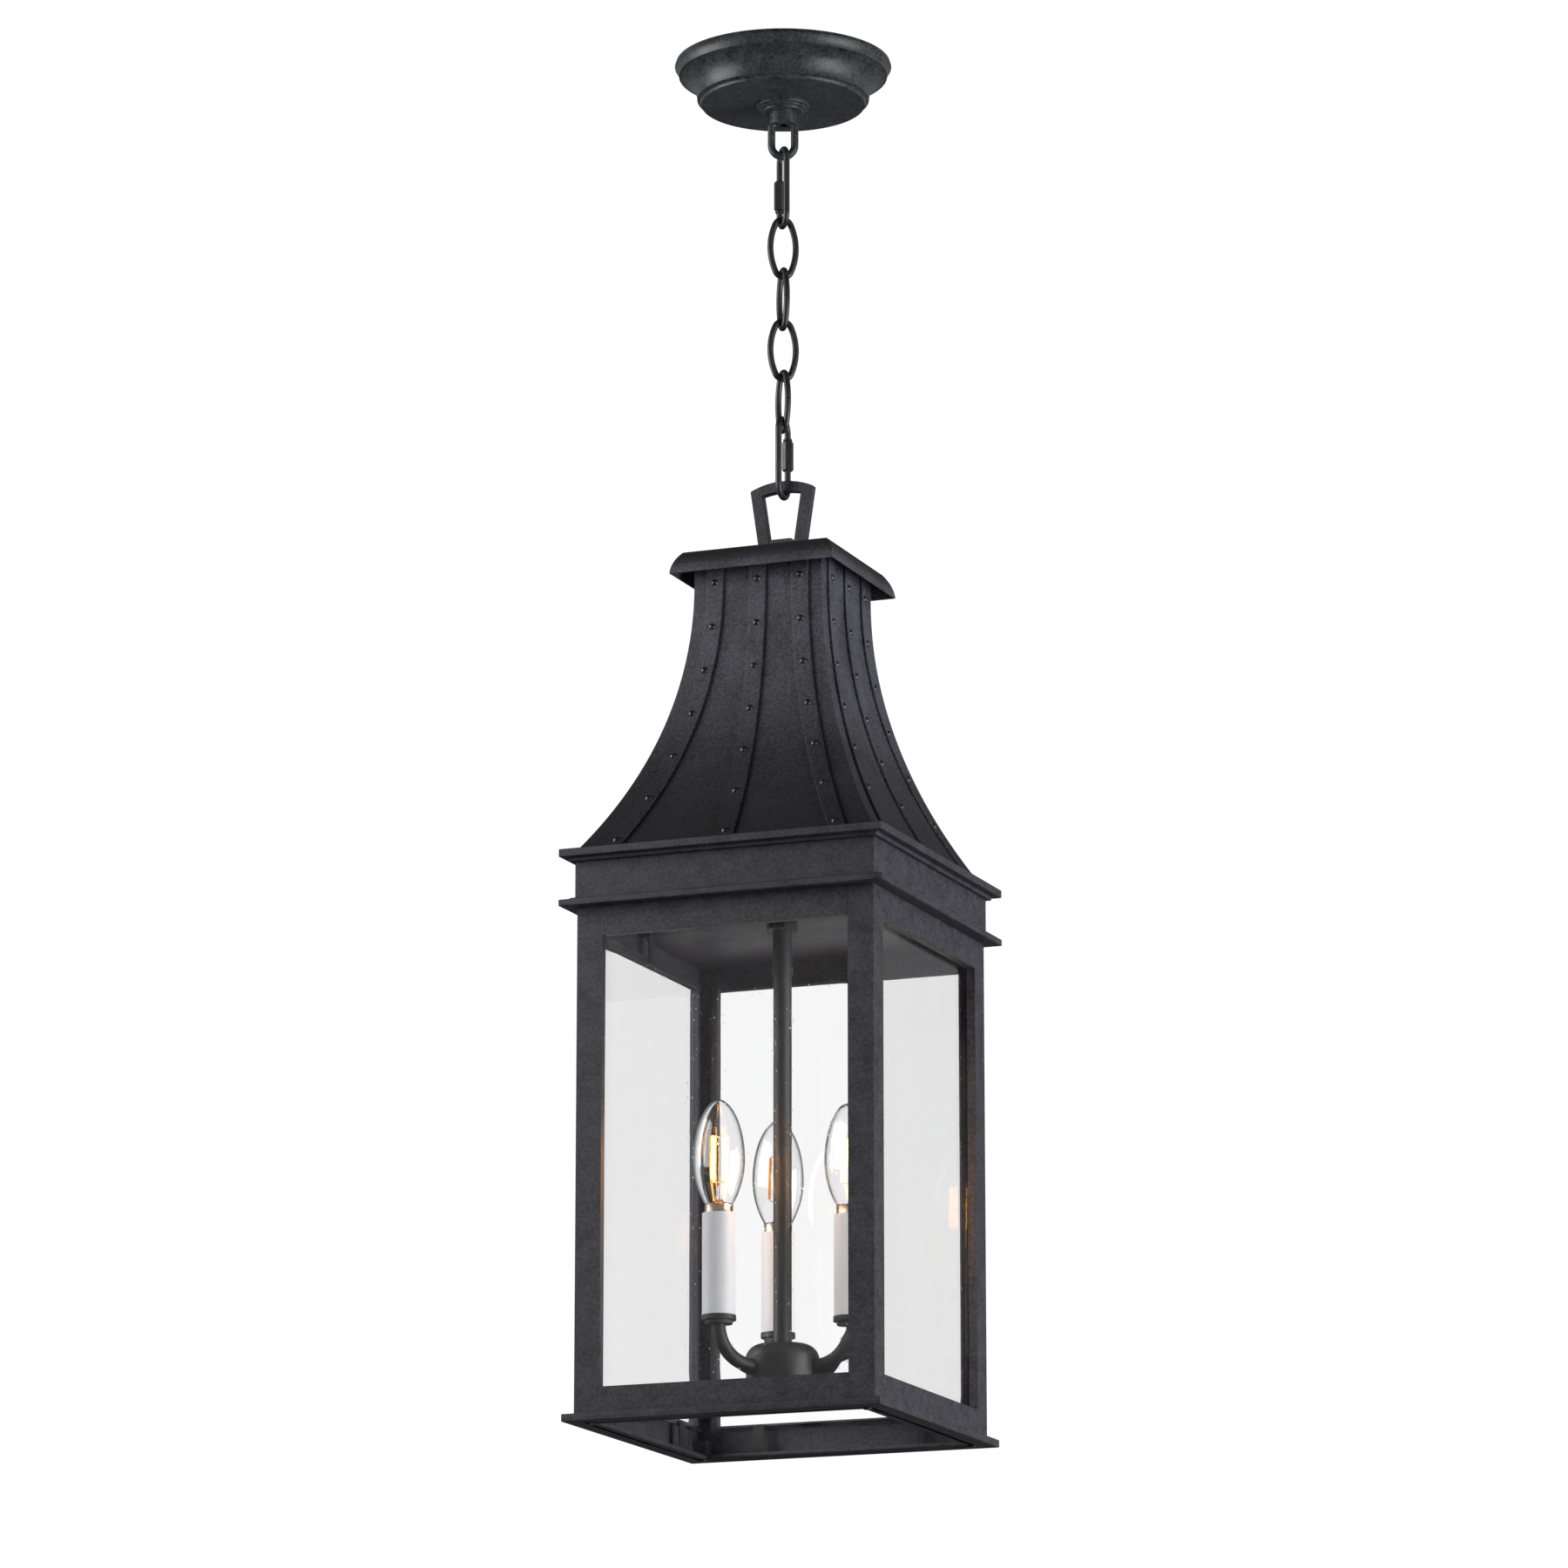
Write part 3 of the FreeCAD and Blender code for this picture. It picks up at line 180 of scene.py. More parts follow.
# ------------------------------------------------------------------ finishes
@dataclass(frozen=True)
class PowderCoat:
    """Black polyester powder coat, baked on iron: satin, pebbled, with a fine grey fleck.

    The pebble of a real coat is about 0.3 mm; the fleck here is drawn near 2 mm so that it
    shows at arm's length. Faces that point upward can be drawn darker and duller, as painted
    shade for light that is dim from above.
    """

    name: str
    shade: str = "#161619"
    fleck: str = "#3D3D46"
    fleck_mm: float = 1.8
    cloud_mm: float = 12.0
    pebble_mm: float = 0.9
    pebble_height_mm: float = 0.05
    roughness: float = 0.5
    gloss: float = 0.5
    up_face_painted_shade: float = 0.0

    def make(self) -> bpy.types.Material:
        """Builds the material."""
        mat = fresh_material(self.name)
        place = add(mat, "TexCoord").outputs["Object"]
        cloud = add(mat, "TexNoise", {"Vector": place, "Scale": per_mm(self.cloud_mm), "Detail": 4.0,
                                      "Roughness": 0.6}).outputs["Fac"]
        fleck = add(mat, "TexNoise", {"Vector": place, "Scale": per_mm(self.fleck_mm), "Detail": 3.0,
                                      "Roughness": 0.7}).outputs["Fac"]
        pebble = add(mat, "TexNoise", {"Vector": place, "Scale": per_mm(self.pebble_mm),
                                       "Detail": 2.0}).outputs["Fac"]
        both = add(mat, "Math", {0: cloud, 1: 0.3}, operation="MULTIPLY").outputs[0]
        mixed = add(mat, "Math", {0: fleck, 1: 0.7, 2: both}, operation="MULTIPLY_ADD").outputs[0]
        colour = ramp(mat, mixed, ((0.38, linear(self.shade)), (0.62, linear(self.fleck))))
        rough = add(mat, "MapRange", {"Value": cloud, "From Min": 0.3, "From Max": 0.7,
                                      "To Min": self.roughness - 0.07,
                                      "To Max": self.roughness + 0.09}).outputs["Result"]
        bump = add(mat, "Bump", {"Height": pebble, "Distance": self.pebble_height_mm * MM,
                                 "Strength": 1.0}).outputs["Normal"]
        # Painted shade: the colour darkens and the roughness rises the more a face points upward.
        if self.up_face_painted_shade:
            normal = add(mat, "NewGeometry").outputs["Normal"]
            facing = add(mat, "SeparateXYZ", {0: normal}).outputs["Z"]
            lean = add(mat, "MapRange", {"Value": facing, "From Min": 0.08, "From Max": 0.62,
                                         "To Min": 1.0, "To Max": 1.0 - self.up_face_painted_shade},
                       interpolation_type="SMOOTHSTEP").outputs["Result"]
            colour = add(mat, "Mix", {"Factor": lean, "A": (0.0, 0.0, 0.0, 1.0), "B": colour},
                         data_type="RGBA").outputs["Result"]
            rough = add(mat, "Math", {0: rough, 1: lean}, operation="DIVIDE").outputs[0]
        shader = add(mat, "BsdfPrincipled", {"Base Color": colour, "Roughness": rough,
                                             "Metallic": 0.0, "IOR": 1.5,
                                             "Specular IOR Level": self.gloss, "Normal": bump})
        add(mat, "OutputMaterial", {"Surface": shader.outputs[0]})
        return mat


@dataclass(frozen=True)
class Metal:
    """Bare or plated metal with a fine run of tool marks and a slight cloud of tarnish."""

    name: str
    shade: str
    tarnish: str
    roughness: float
    marks_mm: float = 0.5
    marks_height_mm: float = 0.01
    cloud_mm: float = 7.0

    def make(self) -> bpy.types.Material:
        """Builds the material."""
        mat = fresh_material(self.name)
        place = add(mat, "TexCoord").outputs["Object"]
        cloud = add(mat, "TexNoise", {"Vector": place, "Scale": per_mm(self.cloud_mm),
                                      "Detail": 4.0}).outputs["Fac"]
        long_way = add(mat, "Mapping", {"Vector": place, "Scale": (1.0, 1.0, 6.0)}).outputs["Vector"]
        marks = add(mat, "TexNoise", {"Vector": long_way, "Scale": per_mm(self.marks_mm * 6.0),
                                      "Detail": 3.0}).outputs["Fac"]
        colour = ramp(mat, cloud, ((0.35, linear(self.shade)), (0.75, linear(self.tarnish))))
        rough = add(mat, "MapRange", {"Value": cloud, "From Min": 0.3, "From Max": 0.7,
                                      "To Min": self.roughness * 0.8,
                                      "To Max": self.roughness * 1.3}).outputs["Result"]
        bump = add(mat, "Bump", {"Height": marks, "Distance": self.marks_height_mm * MM,
                                 "Strength": 1.0}).outputs["Normal"]
        shader = add(mat, "BsdfPrincipled", {"Base Color": colour, "Roughness": rough,
                                             "Metallic": 1.0, "Normal": bump})
        add(mat, "OutputMaterial", {"Surface": shader.outputs[0]})
        return mat


@dataclass(frozen=True)
class Plastic:
    """Moulded or extruded plastic: an even colour with a faint cloud and a fine orange peel."""

    name: str
    shade: str
    cloud: str
    roughness: float
    peel_mm: float = 1.4
    peel_height_mm: float = 0.012
    cloud_mm: float = 11.0
    painted_glow: float = 0.0

    def make(self) -> bpy.types.Material:
        """Builds the material."""
        mat = fresh_material(self.name)
        place = add(mat, "TexCoord").outputs["Object"]
        wide = add(mat, "TexNoise", {"Vector": place, "Scale": per_mm(self.cloud_mm),
                                     "Detail": 3.0}).outputs["Fac"]
        peel = add(mat, "TexNoise", {"Vector": place, "Scale": per_mm(self.peel_mm),
                                     "Detail": 2.0}).outputs["Fac"]
        colour = ramp(mat, wide, ((0.3, linear(self.shade)), (0.8, linear(self.cloud))))
        bump = add(mat, "Bump", {"Height": peel, "Distance": self.peel_height_mm * MM,
                                 "Strength": 1.0}).outputs["Normal"]
        # Painted glow: the emission makes the plastic give off a little light though it is no lamp.
        shader = add(mat, "BsdfPrincipled", {"Base Color": colour, "Roughness": self.roughness,
                                             "Metallic": 0.0, "IOR": 1.48, "Normal": bump,
                                             "Emission Color": linear("#F1F0EF"),
                                             "Emission Strength": self.painted_glow})
        add(mat, "OutputMaterial", {"Surface": shader.outputs[0]})
        return mat


@dataclass(frozen=True)
class ClearGlass:
    """Clear soda-lime glass. Lamps shine through it, so what is inside stays lit.

    Window glass of this kind is poured with small seeds and rolled a little wavy; blown bulb
    glass is thin and almost even.
    """

    name: str
    tint: str
    wave_mm: float
    wave_height_mm: float
    seed_mm: float = 0.0
    seed_height_mm: float = 0.0
    rim: str = ""

    def make(self) -> bpy.types.Material:
        """Builds the material."""
        mat = fresh_material(self.name)
        place = add(mat, "TexCoord").outputs["Object"]
        wave = add(mat, "TexNoise", {"Vector": place, "Scale": per_mm(self.wave_mm),
                                     "Detail": 1.0}).outputs["Fac"]
        normal = add(mat, "Bump", {"Height": wave, "Distance": self.wave_height_mm * MM,
                                   "Strength": 1.0}).outputs["Normal"]
        if self.seed_mm:
            tall = add(mat, "Mapping", {"Vector": place, "Scale": (1.0, 1.0, 0.6)}).outputs["Vector"]
            cells = add(mat, "TexVoronoi", {"Vector": tall, "Scale": per_mm(self.seed_mm * 5.0),
                                            "Randomness": 1.0}).outputs["Distance"]
            seeds = add(mat, "MapRange", {"Value": cells, "From Min": 0.0, "From Max": 0.13,
                                          "To Min": 1.0, "To Max": 0.0},
                        interpolation_type="SMOOTHSTEP").outputs["Result"]
            normal = add(mat, "Bump", {"Height": seeds, "Distance": self.seed_height_mm * MM,
                                       "Strength": 1.0, "Normal": normal}).outputs["Normal"]
        colour = linear(self.tint)
        if self.rim:
            slope = add(mat, "LayerWeight", {"Blend": 0.5}).outputs["Facing"]
            colour = ramp(mat, slope, ((0.55, linear(self.tint)), (0.97, linear(self.rim))))
        glass = add(mat, "BsdfPrincipled", {"Base Color": colour, "Roughness": 0.0,
                                            "Metallic": 0.0, "IOR": 1.44, "Transmission Weight": 1.0,
                                            "Normal": normal})
        clear = add(mat, "BsdfTransparent", {"Color": linear(self.tint)})
        path = add(mat, "LightPath")
        lamp = add(mat, "Math", {0: path.outputs["Is Shadow Ray"], 1: path.outputs["Is Diffuse Ray"]},
                   operation="MAXIMUM").outputs[0]
        mixed = add(mat, "MixShader", {0: lamp, 1: glass.outputs[0], 2: clear.outputs[0]})
        add(mat, "OutputMaterial", {"Surface": mixed.outputs[0]})
        return mat


class Glow(Enum):
    """How a bulb's sticks look: burning, or dark with their amber coat showing."""

    LIT = 48.0
    DARK = 0.0


@dataclass(frozen=True)
class PhosphorStick:
    """Filament stick of a clear bulb: a thin strip under an amber phosphor coat."""

    name: str
    coat: str
    light: str
    glow: Glow
    grain_mm: float = 1.2

    def make(self) -> bpy.types.Material:
        """Builds the material."""
        mat = fresh_material(self.name)
        place = add(mat, "TexCoord").outputs["Object"]
        grain = add(mat, "TexNoise", {"Vector": place, "Scale": per_mm(self.grain_mm),
                                      "Detail": 2.0}).outputs["Fac"]
        colour = ramp(mat, grain, ((0.3, linear(self.coat)), (0.8, linear("#E0A94E"))))
        shader = add(mat, "BsdfPrincipled", {"Base Color": colour, "Roughness": 0.42, "IOR": 1.45,
                                             "Emission Color": linear(self.light),
                                             "Emission Strength": self.glow.value})
        add(mat, "OutputMaterial", {"Surface": shader.outputs[0]})
        return mat


@dataclass(frozen=True)
class Finishes:
    """Every finish of the lantern, made once."""

    iron: bpy.types.Material
    roof: bpy.types.Material
    rivet: bpy.types.Material
    canopy: bpy.types.Material
    chain: bpy.types.Material
    cluster: bpy.types.Material
    spring: bpy.types.Material
    zinc: bpy.types.Material
    brass: bpy.types.Material
    nickel: bpy.types.Material
    candle: bpy.types.Material
    phenolic: bpy.types.Material
    window: bpy.types.Material
    window_edge: bpy.types.Material
    bulb: bpy.types.Material
    stick_lit: bpy.types.Material
    stick_dark: bpy.types.Material


def make_finishes() -> Finishes:
    """Makes all the materials."""
    return Finishes(
        # Flat black coat over iron: a soft sheen, and a grey fleck that reads as cast texture.
        iron=PowderCoat("powder_coated_iron_satin").make(),
        # The same coat on the big flared sheets: wider clouds, and painted shade that turns up-facing faces near
        # black.
        roof=PowderCoat("powder_coated_iron_roof", shade="#1C1C20", fleck="#50505A", cloud_mm=26.0,
                        up_face_painted_shade=0.9).make(),
        # Thick paint on small domes: each head catches one bright point.
        rivet=PowderCoat("powder_coated_rivet_glossy", shade="#151517", fleck="#2C2C30",
                         roughness=0.28).make(),
        # Smoother coat on spun steel: blurred highlights that run round the rim.
        canopy=PowderCoat("powder_coated_steel_canopy", shade="#1B1D1F", fleck="#46494C",
                          cloud_mm=9.0, roughness=0.38, gloss=0.3).make(),
        # Coat on bent wire, rubbed a little shinier where the links meet.
        chain=PowderCoat("powder_coated_chain", shade="#18181A", fleck="#2B2A2B", cloud_mm=8.0,
                         roughness=0.42).make(),
        # Finest coat, on the turned and bent cluster: even black with a soft line of light. Its colours are darker
        # than the outer coat's: painted shade for the inside of the lantern.
        cluster=PowderCoat("powder_coated_cluster_smooth", shade="#121315", fleck="#1E1F21",
                           cloud_mm=20.0, pebble_height_mm=0.015, gloss=0.4).make(),
        # Heat-blackened clips and screws: darker than the coat beside them.
        spring=PowderCoat("blackened_spring_steel", shade="#161616", fleck="#2A2A2A",
                          roughness=0.4).make(),
        # Plated fixings inside: pale grey and slightly cloudy.
        zinc=Metal("zinc_plated_steel_satin", "#B9BBB8", "#8F918E", 0.34).make(),
        # Ground screw: warm yellow, dulled by handling.
        brass=Metal("brass_drawn_dull", "#C9A468", "#8E6B3A", 0.36).make(),
        # Bulb caps: warm silver that picks up the orange of the sticks.
        nickel=Metal("nickel_plated_cap", "#C9B5A2", "#A08C78", 0.27).make(),
        # Candle tubes: even white, with a faint painted glow of their own that flattens their shading.
        candle=Plastic("polycarbonate_candle_tube_satin", "#CBCCCF", "#C3C4C8", 0.5,
                       painted_glow=0.22).make(),
        # Lampholders: dull brown-black.
        phenolic=Plastic("phenolic_moulded_black", "#141414", "#1F1E1D", 0.38).make(),
        # Panes: clear, with small seeds that sparkle against dark edges.
        window=ClearGlass("soda_lime_window_glass_seeded", "#FEFEFE", 9.0, 0.004, 0.7, 0.03).make(),
        # Cut edges of the panes: the green that looking along the sheet gives.
        window_edge=ClearGlass("soda_lime_glass_cut_edge", "#5E7B70", 1.6, 0.12).make(),
        # Bulb glass: nothing shows but its grey outline and its reflections.
        bulb=ClearGlass("blown_bulb_glass", "#FEFEFE", 12.0, 0.006, rim="#A0A09E").make(),
        # Burning stick: pale yellow, and the warm light on the pieces round it.
        stick_lit=PhosphorStick("phosphor_stick_lit", "#E8A33C", "#FFAC40", Glow.LIT).make(),
        # Dark stick: the amber of its coat.
        stick_dark=PhosphorStick("phosphor_stick_dark", "#B87A24", "#000000", Glow.DARK).make(),
    )


# ------------------------------------------------------------------ mesh tools
def new_piece(name: str, mesh: bpy.types.Mesh, body: str, materials: Iterable[bpy.types.Material]) -> bpy.types.Object:
    """Puts a mesh in the scene as one piece of the lantern.

    Args:
        name: The piece's name.
        mesh: Its mesh, in metres, in the frame's own place.
        body: The body that it moves with.
        materials: Its materials, in the order of their slots.

    Returns:
        The new object.
    """
    piece = bpy.data.objects.new(name, mesh)
    bpy.context.scene.collection.objects.link(piece)
    for material in materials:
        mesh.materials.append(material)
    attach(piece, body)
    return piece


def body_of(node: str) -> str:
    """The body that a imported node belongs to."""
    groups = frame["record"]["behaviour"]["bodies"]
    return next(body for body, members in groups.items() if node in members)


def shade_by_angle(mesh: bpy.types.Mesh, degrees: float = 32.0) -> None:
    """Smooths the mesh, and keeps edges sharper than the angle crisp."""
    mesh.shade_smooth()
    mesh.set_sharp_from_angle(angle=math.radians(degrees))


def eased_copy(node: str, material: bpy.types.Material, width_mm: float = 0.4,
               segments: int = 2) -> bpy.types.Object:
    """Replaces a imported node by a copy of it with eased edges.

    The faces hidden in a mitre, where two strips meet at 45 degrees, are left out first, so
    that the strips become one ring and its faces shade flat.

    Args:
        node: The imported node.
        material: The copy's finish.
        width_mm: How far the easing reaches from each edge.
        segments: Facets across it.

    Returns:
        The new piece.
    """
    mesh = frame["nodes"][node].data.copy()
    mesh.materials.clear()
    shape = bmesh.new()
    shape.from_mesh(mesh)
    bmesh.ops.remove_doubles(shape, verts=shape.verts, dist=WELD_MM * MM)
    shape.normal_update()
    mitres = [face for face in shape.faces if abs(face.normal.z) < 0.01
              and abs(abs(face.normal.x) - abs(face.normal.y)) < 0.01
              and all(abs(abs(v.co.x) - abs(v.co.y)) < MITRE_MM * MM for v in face.verts)]
    bmesh.ops.delete(shape, geom=mitres, context="FACES")
    shape.to_mesh(mesh)
    shape.free()
    piece = new_piece("eased_" + node, mesh, body_of(node), [material])
    bevel = piece.modifiers.new("eased edges", "BEVEL")
    bevel.width, bevel.segments = width_mm * MM, segments
    bevel.limit_method, bevel.angle_limit = "ANGLE", EASED_ANGLE
    bevel.use_clamp_overlap = True
    flat = piece.modifiers.new("flat faces", "WEIGHTED_NORMAL")
    flat.mode, flat.keep_sharp = "FACE_AREA", True
    piece.data.shade_smooth()
    freeze(piece)
    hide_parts(node)
    return piece


def freeze(piece: bpy.types.Object) -> None:
    """Turns a piece's modifiers into its mesh."""
    graph = bpy.context.evaluated_depsgraph_get()
    done = bpy.data.meshes.new_from_object(piece.evaluated_get(graph))
    piece.modifiers.clear()
    piece.data = done


def dress(node: str, material: bpy.types.Material) -> None:
    """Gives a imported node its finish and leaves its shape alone."""
    packed = frame["nodes"][node]
    for slot in packed.material_slots:
        slot.material = material
    if not packed.material_slots:
        packed.data.materials.append(material)


def lathe(outline: Sequence[tuple[float, float]], centre: Vector, segments: int = 72,
          closed: bool = True) -> bpy.types.Mesh:
    """Turns an outline about an upright axis.

    Args:
        outline: Points (radius, height) in millimetres, height from the centre.
        centre: A point of the axis, in metres.
        segments: Facets round the axis.
        closed: True if the last point joins the first.

    Returns:
        The turned mesh.
    """
    shape = bmesh.new()
    rings = []
    for radius, height in outline:
        if radius < 1e-6:
            rings.append([shape.verts.new(centre + Vector((0, 0, height * MM)))])
            continue
        ring = [centre + Vector((radius * MM * math.cos(2 * math.pi * i / segments),
                                 radius * MM * math.sin(2 * math.pi * i / segments), height * MM))
                for i in range(segments)]
        rings.append([shape.verts.new(point) for point in ring])
    pairs = list(zip(rings, rings[1:] + rings[:1]))
    for low, high in pairs if closed else pairs[:-1]:
        if len(low) == 1 and len(high) == 1:
            continue
        for i in range(segments):
            j = (i + 1) % segments
            corners = [low[i % len(low)], low[j % len(low)], high[j % len(high)], high[i % len(high)]]
            shape.faces.new(list(dict.fromkeys(corners)))
    bmesh.ops.recalc_face_normals(shape, faces=shape.faces)
    mesh = bpy.data.meshes.new("turned")
    shape.to_mesh(mesh)
    shape.free()
    shade_by_angle(mesh)
    return mesh


def tube_along(points: Sequence[Vector], radius: float, sides: int = 20,
               closed: bool = False) -> bpy.types.Mesh:
    """Round wire along a path.

    Args:
        points: The path, in metres.
        radius: The wire's radius in metres.
        sides: Facets round the wire.
        closed: True if the path is a ring.

    Returns:
        The wire's mesh, with its ends capped.
    """
    shape = bmesh.new()
    rings, count = [], len(points)
    side = None
    for i, point in enumerate(points):
        before = points[i - 1] if closed or i else point
        after = points[(i + 1) % count] if closed or i < count - 1 else point
        along = (after - before).normalized()
        if side is None:
            side = along.orthogonal().normalized()
        side = (side - along * side.dot(along)).normalized()
        other = along.cross(side)
        rings.append([shape.verts.new(point + radius * (side * math.cos(2 * math.pi * k / sides)
                                                        + other * math.sin(2 * math.pi * k / sides)))
                      for k in range(sides)])
    pairs = list(zip(rings, rings[1:] + rings[:1]))
    for low, high in pairs if closed else pairs[:-1]:
        for k in range(sides):
            j = (k + 1) % sides
            shape.faces.new((low[k], low[j], high[j], high[k]))
    if not closed:
        shape.faces.new(rings[0][::-1])
        shape.faces.new(rings[-1])
    bmesh.ops.recalc_face_normals(shape, faces=shape.faces)
    mesh = bpy.data.meshes.new("wire")
    shape.to_mesh(mesh)
    shape.free()
    shade_by_angle(mesh)
    return mesh


def joined(meshes: Sequence[bpy.types.Mesh], slots: Sequence[int] | None = None) -> bpy.types.Mesh:
    """Puts several meshes into one.

    Args:
        meshes: The meshes, which are used up.
        slots: The material slot of each mesh, or None for the first slot.

    Returns:
        One mesh that holds them all.
    """
    shape = bmesh.new()
    for number, mesh in enumerate(meshes):
        first = len(shape.faces)
        shape.from_mesh(mesh)
        shape.faces.ensure_lookup_table()
        for face in shape.faces[first:]:
            face.material_index = slots[number] if slots else 0
        bpy.data.meshes.remove(mesh)
    whole = bpy.data.meshes.new("joined")
    shape.to_mesh(whole)
    shape.free()
    shade_by_angle(whole)
    return whole


def centre_of(node: str) -> Vector:
    """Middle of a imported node's box."""
    low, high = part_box(node)
    return (low + high) / 2


# ------------------------------------------------------------------ sub-assemblies
@dataclass
class CeilingFixing:
    """Strap, nipple, nuts and screw that hang the canopy under the outlet box."""

    finishes: Finishes
    edge_mm: float = 0.25

    def build(self) -> None:
        """Eases the stamped edges and plates them."""
        for node in ("mounting_strap", "nipple_locknuts"):
            eased_copy(node, self.finishes.zinc, self.edge_mm)
        dress("strap_nipple", self.finishes.zinc)
        eased_copy("ground_screw", self.finishes.brass, self.edge_mm)


@dataclass
class Canopy:
    """Spun canopy with its seat ring and the cast loop under it."""

    finishes: Finishes

    def build(self) -> None:
        """Dresses the canopy group."""
        for node in ("canopy", "canopy_seat_ring", "canopy_loop"):
            dress(node, self.finishes.canopy)


@dataclass
class Chain:
    """Quick links, their sleeves, and the oval links."""

    finishes: Finishes
    oval_links: int = 4
    edge_mm: float = 0.3

    def build(self) -> None:
        """Dresses the links and eases the sleeves."""
        for number in range(1, self.oval_links + 1):
            dress("chain_link_%d" % number, self.finishes.chain)
        for place in ("upper", "lower"):
            dress("quick_link_" + place, self.finishes.chain)
            eased_copy(place + "_link_sleeve", self.finishes.chain, self.edge_mm)


@dataclass
class Roof:
    """Bail, pressed cap, flared panels with their straps, and the rivets."""

    finishes: Finishes
    bail_edge_mm: float = 0.7
    sheet_edge_mm: float = 0.3
    cap_edge_mm: float = 0.5

    def build(self) -> None:
        """Builds the roof from the top down."""
        for node in ("bail", "bail_crossbar"):
            eased_copy(node, self.finishes.iron, self.bail_edge_mm, 3)
        dress("bail_coupling", self.finishes.iron)
        for node in ("roof_nipple", "roof_locknut"):
            dress(node, self.finishes.zinc)
        eased_copy("roof_cap", self.finishes.roof, self.cap_edge_mm)
        for side in SIDES:
            dress("roof_panel_" + side, self.finishes.roof)
        eased_copy("roof_straps", self.finishes.roof, self.sheet_edge_mm)
        dress("roof_rivets", self.finishes.rivet)


@dataclass
class Casing:
    """Cornices, frieze, corner posts, rails and the frames round the open foot."""

    finishes: Finishes
    flange_edge_mm: float = 0.6
    sheet_edge_mm: float = 0.35

    def build(self) -> None:
        """Eases every edge of the folded and drawn iron."""
        for node in ("cornice", "lower_cornice", "bottom_flange", "bottom_frame"):
            eased_copy(node, self.finishes.iron, self.flange_edge_mm)
        for node in ("frieze", "corner_posts", "window_top_rails", "window_bottom_rails",
                     "ceiling_plate"):
            eased_copy(node, self.finishes.iron, self.sheet_edge_mm)
        eased_copy("bottom_screws", self.finishes.spring, 0.15)
        dress("glass_clips", self.finishes.spring)


@dataclass
class Glazing:
    """Four loose panes of seeded glass with ground edges."""

    finishes: Finishes
    cell_mm: float = 6.0
    ripple_mm: float = 0.03
    ripple_length_mm: float = 38.0
    edge_mm: float = 0.4

    def build(self) -> None:
        """Builds each pane in its place."""
        for side in SIDES:
            self.pane(side)

    def pane(self, side: str) -> None:
        """Builds one pane: two gently rippled faces and a ground edge round them.

        Args:
            side: Which side of the lantern it closes.
        """
        node = "glass_" + side
        low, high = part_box(node)
        size = high - low
        thin = 0 if size.x < size.y else 1
        wide = 1 - thin
        columns = round(size[wide] / (self.cell_mm * MM))
        rows = round(size.z / (self.cell_mm * MM))
        shape = bmesh.new()
        faces = []
        for end, inward in ((low[thin], 1.0), (high[thin], -1.0)):
            grid = []
            for row in range(rows + 1):
                line = []
                for column in range(columns + 1):
                    point = Vector((0, 0, low.z + size.z * row / rows))
                    point[wide] = low[wide] + size[wide] * column / columns
                    point[thin] = end
                    rim = row in (0, rows) or column in (0, columns)
                    drop = self.edge_mm if rim else self.ripple(point, inward)
                    point[thin] += inward * drop * MM
                    line.append(shape.verts.new(point))
                grid.append(line)
            faces.append(grid)
            for row in range(rows):
                for column in range(columns):
                    shape.faces.new((grid[row][column], grid[row][column + 1],
                                     grid[row + 1][column + 1], grid[row + 1][column]))
        first, second = (self.border(grid) for grid in faces)
        for i in range(len(first)):
            j = (i + 1) % len(first)
            edge = shape.faces.new((first[i], first[j], second[j], second[i]))
            edge.material_index = 1
        bmesh.ops.recalc_face_normals(shape, faces=shape.faces)
        mesh = bpy.data.meshes.new("pane_" + side)
        shape.to_mesh(mesh)
        shape.free()
        shade_by_angle(mesh, 40.0)
        piece = new_piece("pane_" + side, mesh, body_of(node),
                          [self.finishes.window, self.finishes.window_edge])
        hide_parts(node)

    def ripple(self, point: Vector, inward: float) -> float:
        """Depth of the rolled ripple at a point of a face, in millimetres."""
        where = point / (self.ripple_length_mm * MM) + Vector((0, 0, inward * 9.0))
        return self.ripple_mm * (0.5 + 0.5 * noise.noise(where))

    @staticmethod
    def border(grid: Sequence[Sequence[bmesh.types.BMVert]]) -> list[bmesh.types.BMVert]:
        """The outermost points of a grid, in order round it."""
        right = [line[-1] for line in grid[1:-1]]
        left = [line[0] for line in grid[1:-1]]
        return list(grid[0]) + right + list(reversed(grid[-1])) + list(reversed(left))


@dataclass
class Cluster:
    """Stem, hub, arms, cups, candle tubes and lampholders."""

    finishes: Finishes

    def build(self) -> None:
        """Dresses the candle cluster."""
        for node in ("stem_coupling", "stem", "hub", "hub_finial", "candle_arms", "candle_cups"):
            dress(node, self.finishes.cluster)
        dress("stem_nuts", self.finishes.cluster)
        dress("candle_sleeves", self.finishes.candle)
        dress("lamp_sockets", self.finishes.phenolic)


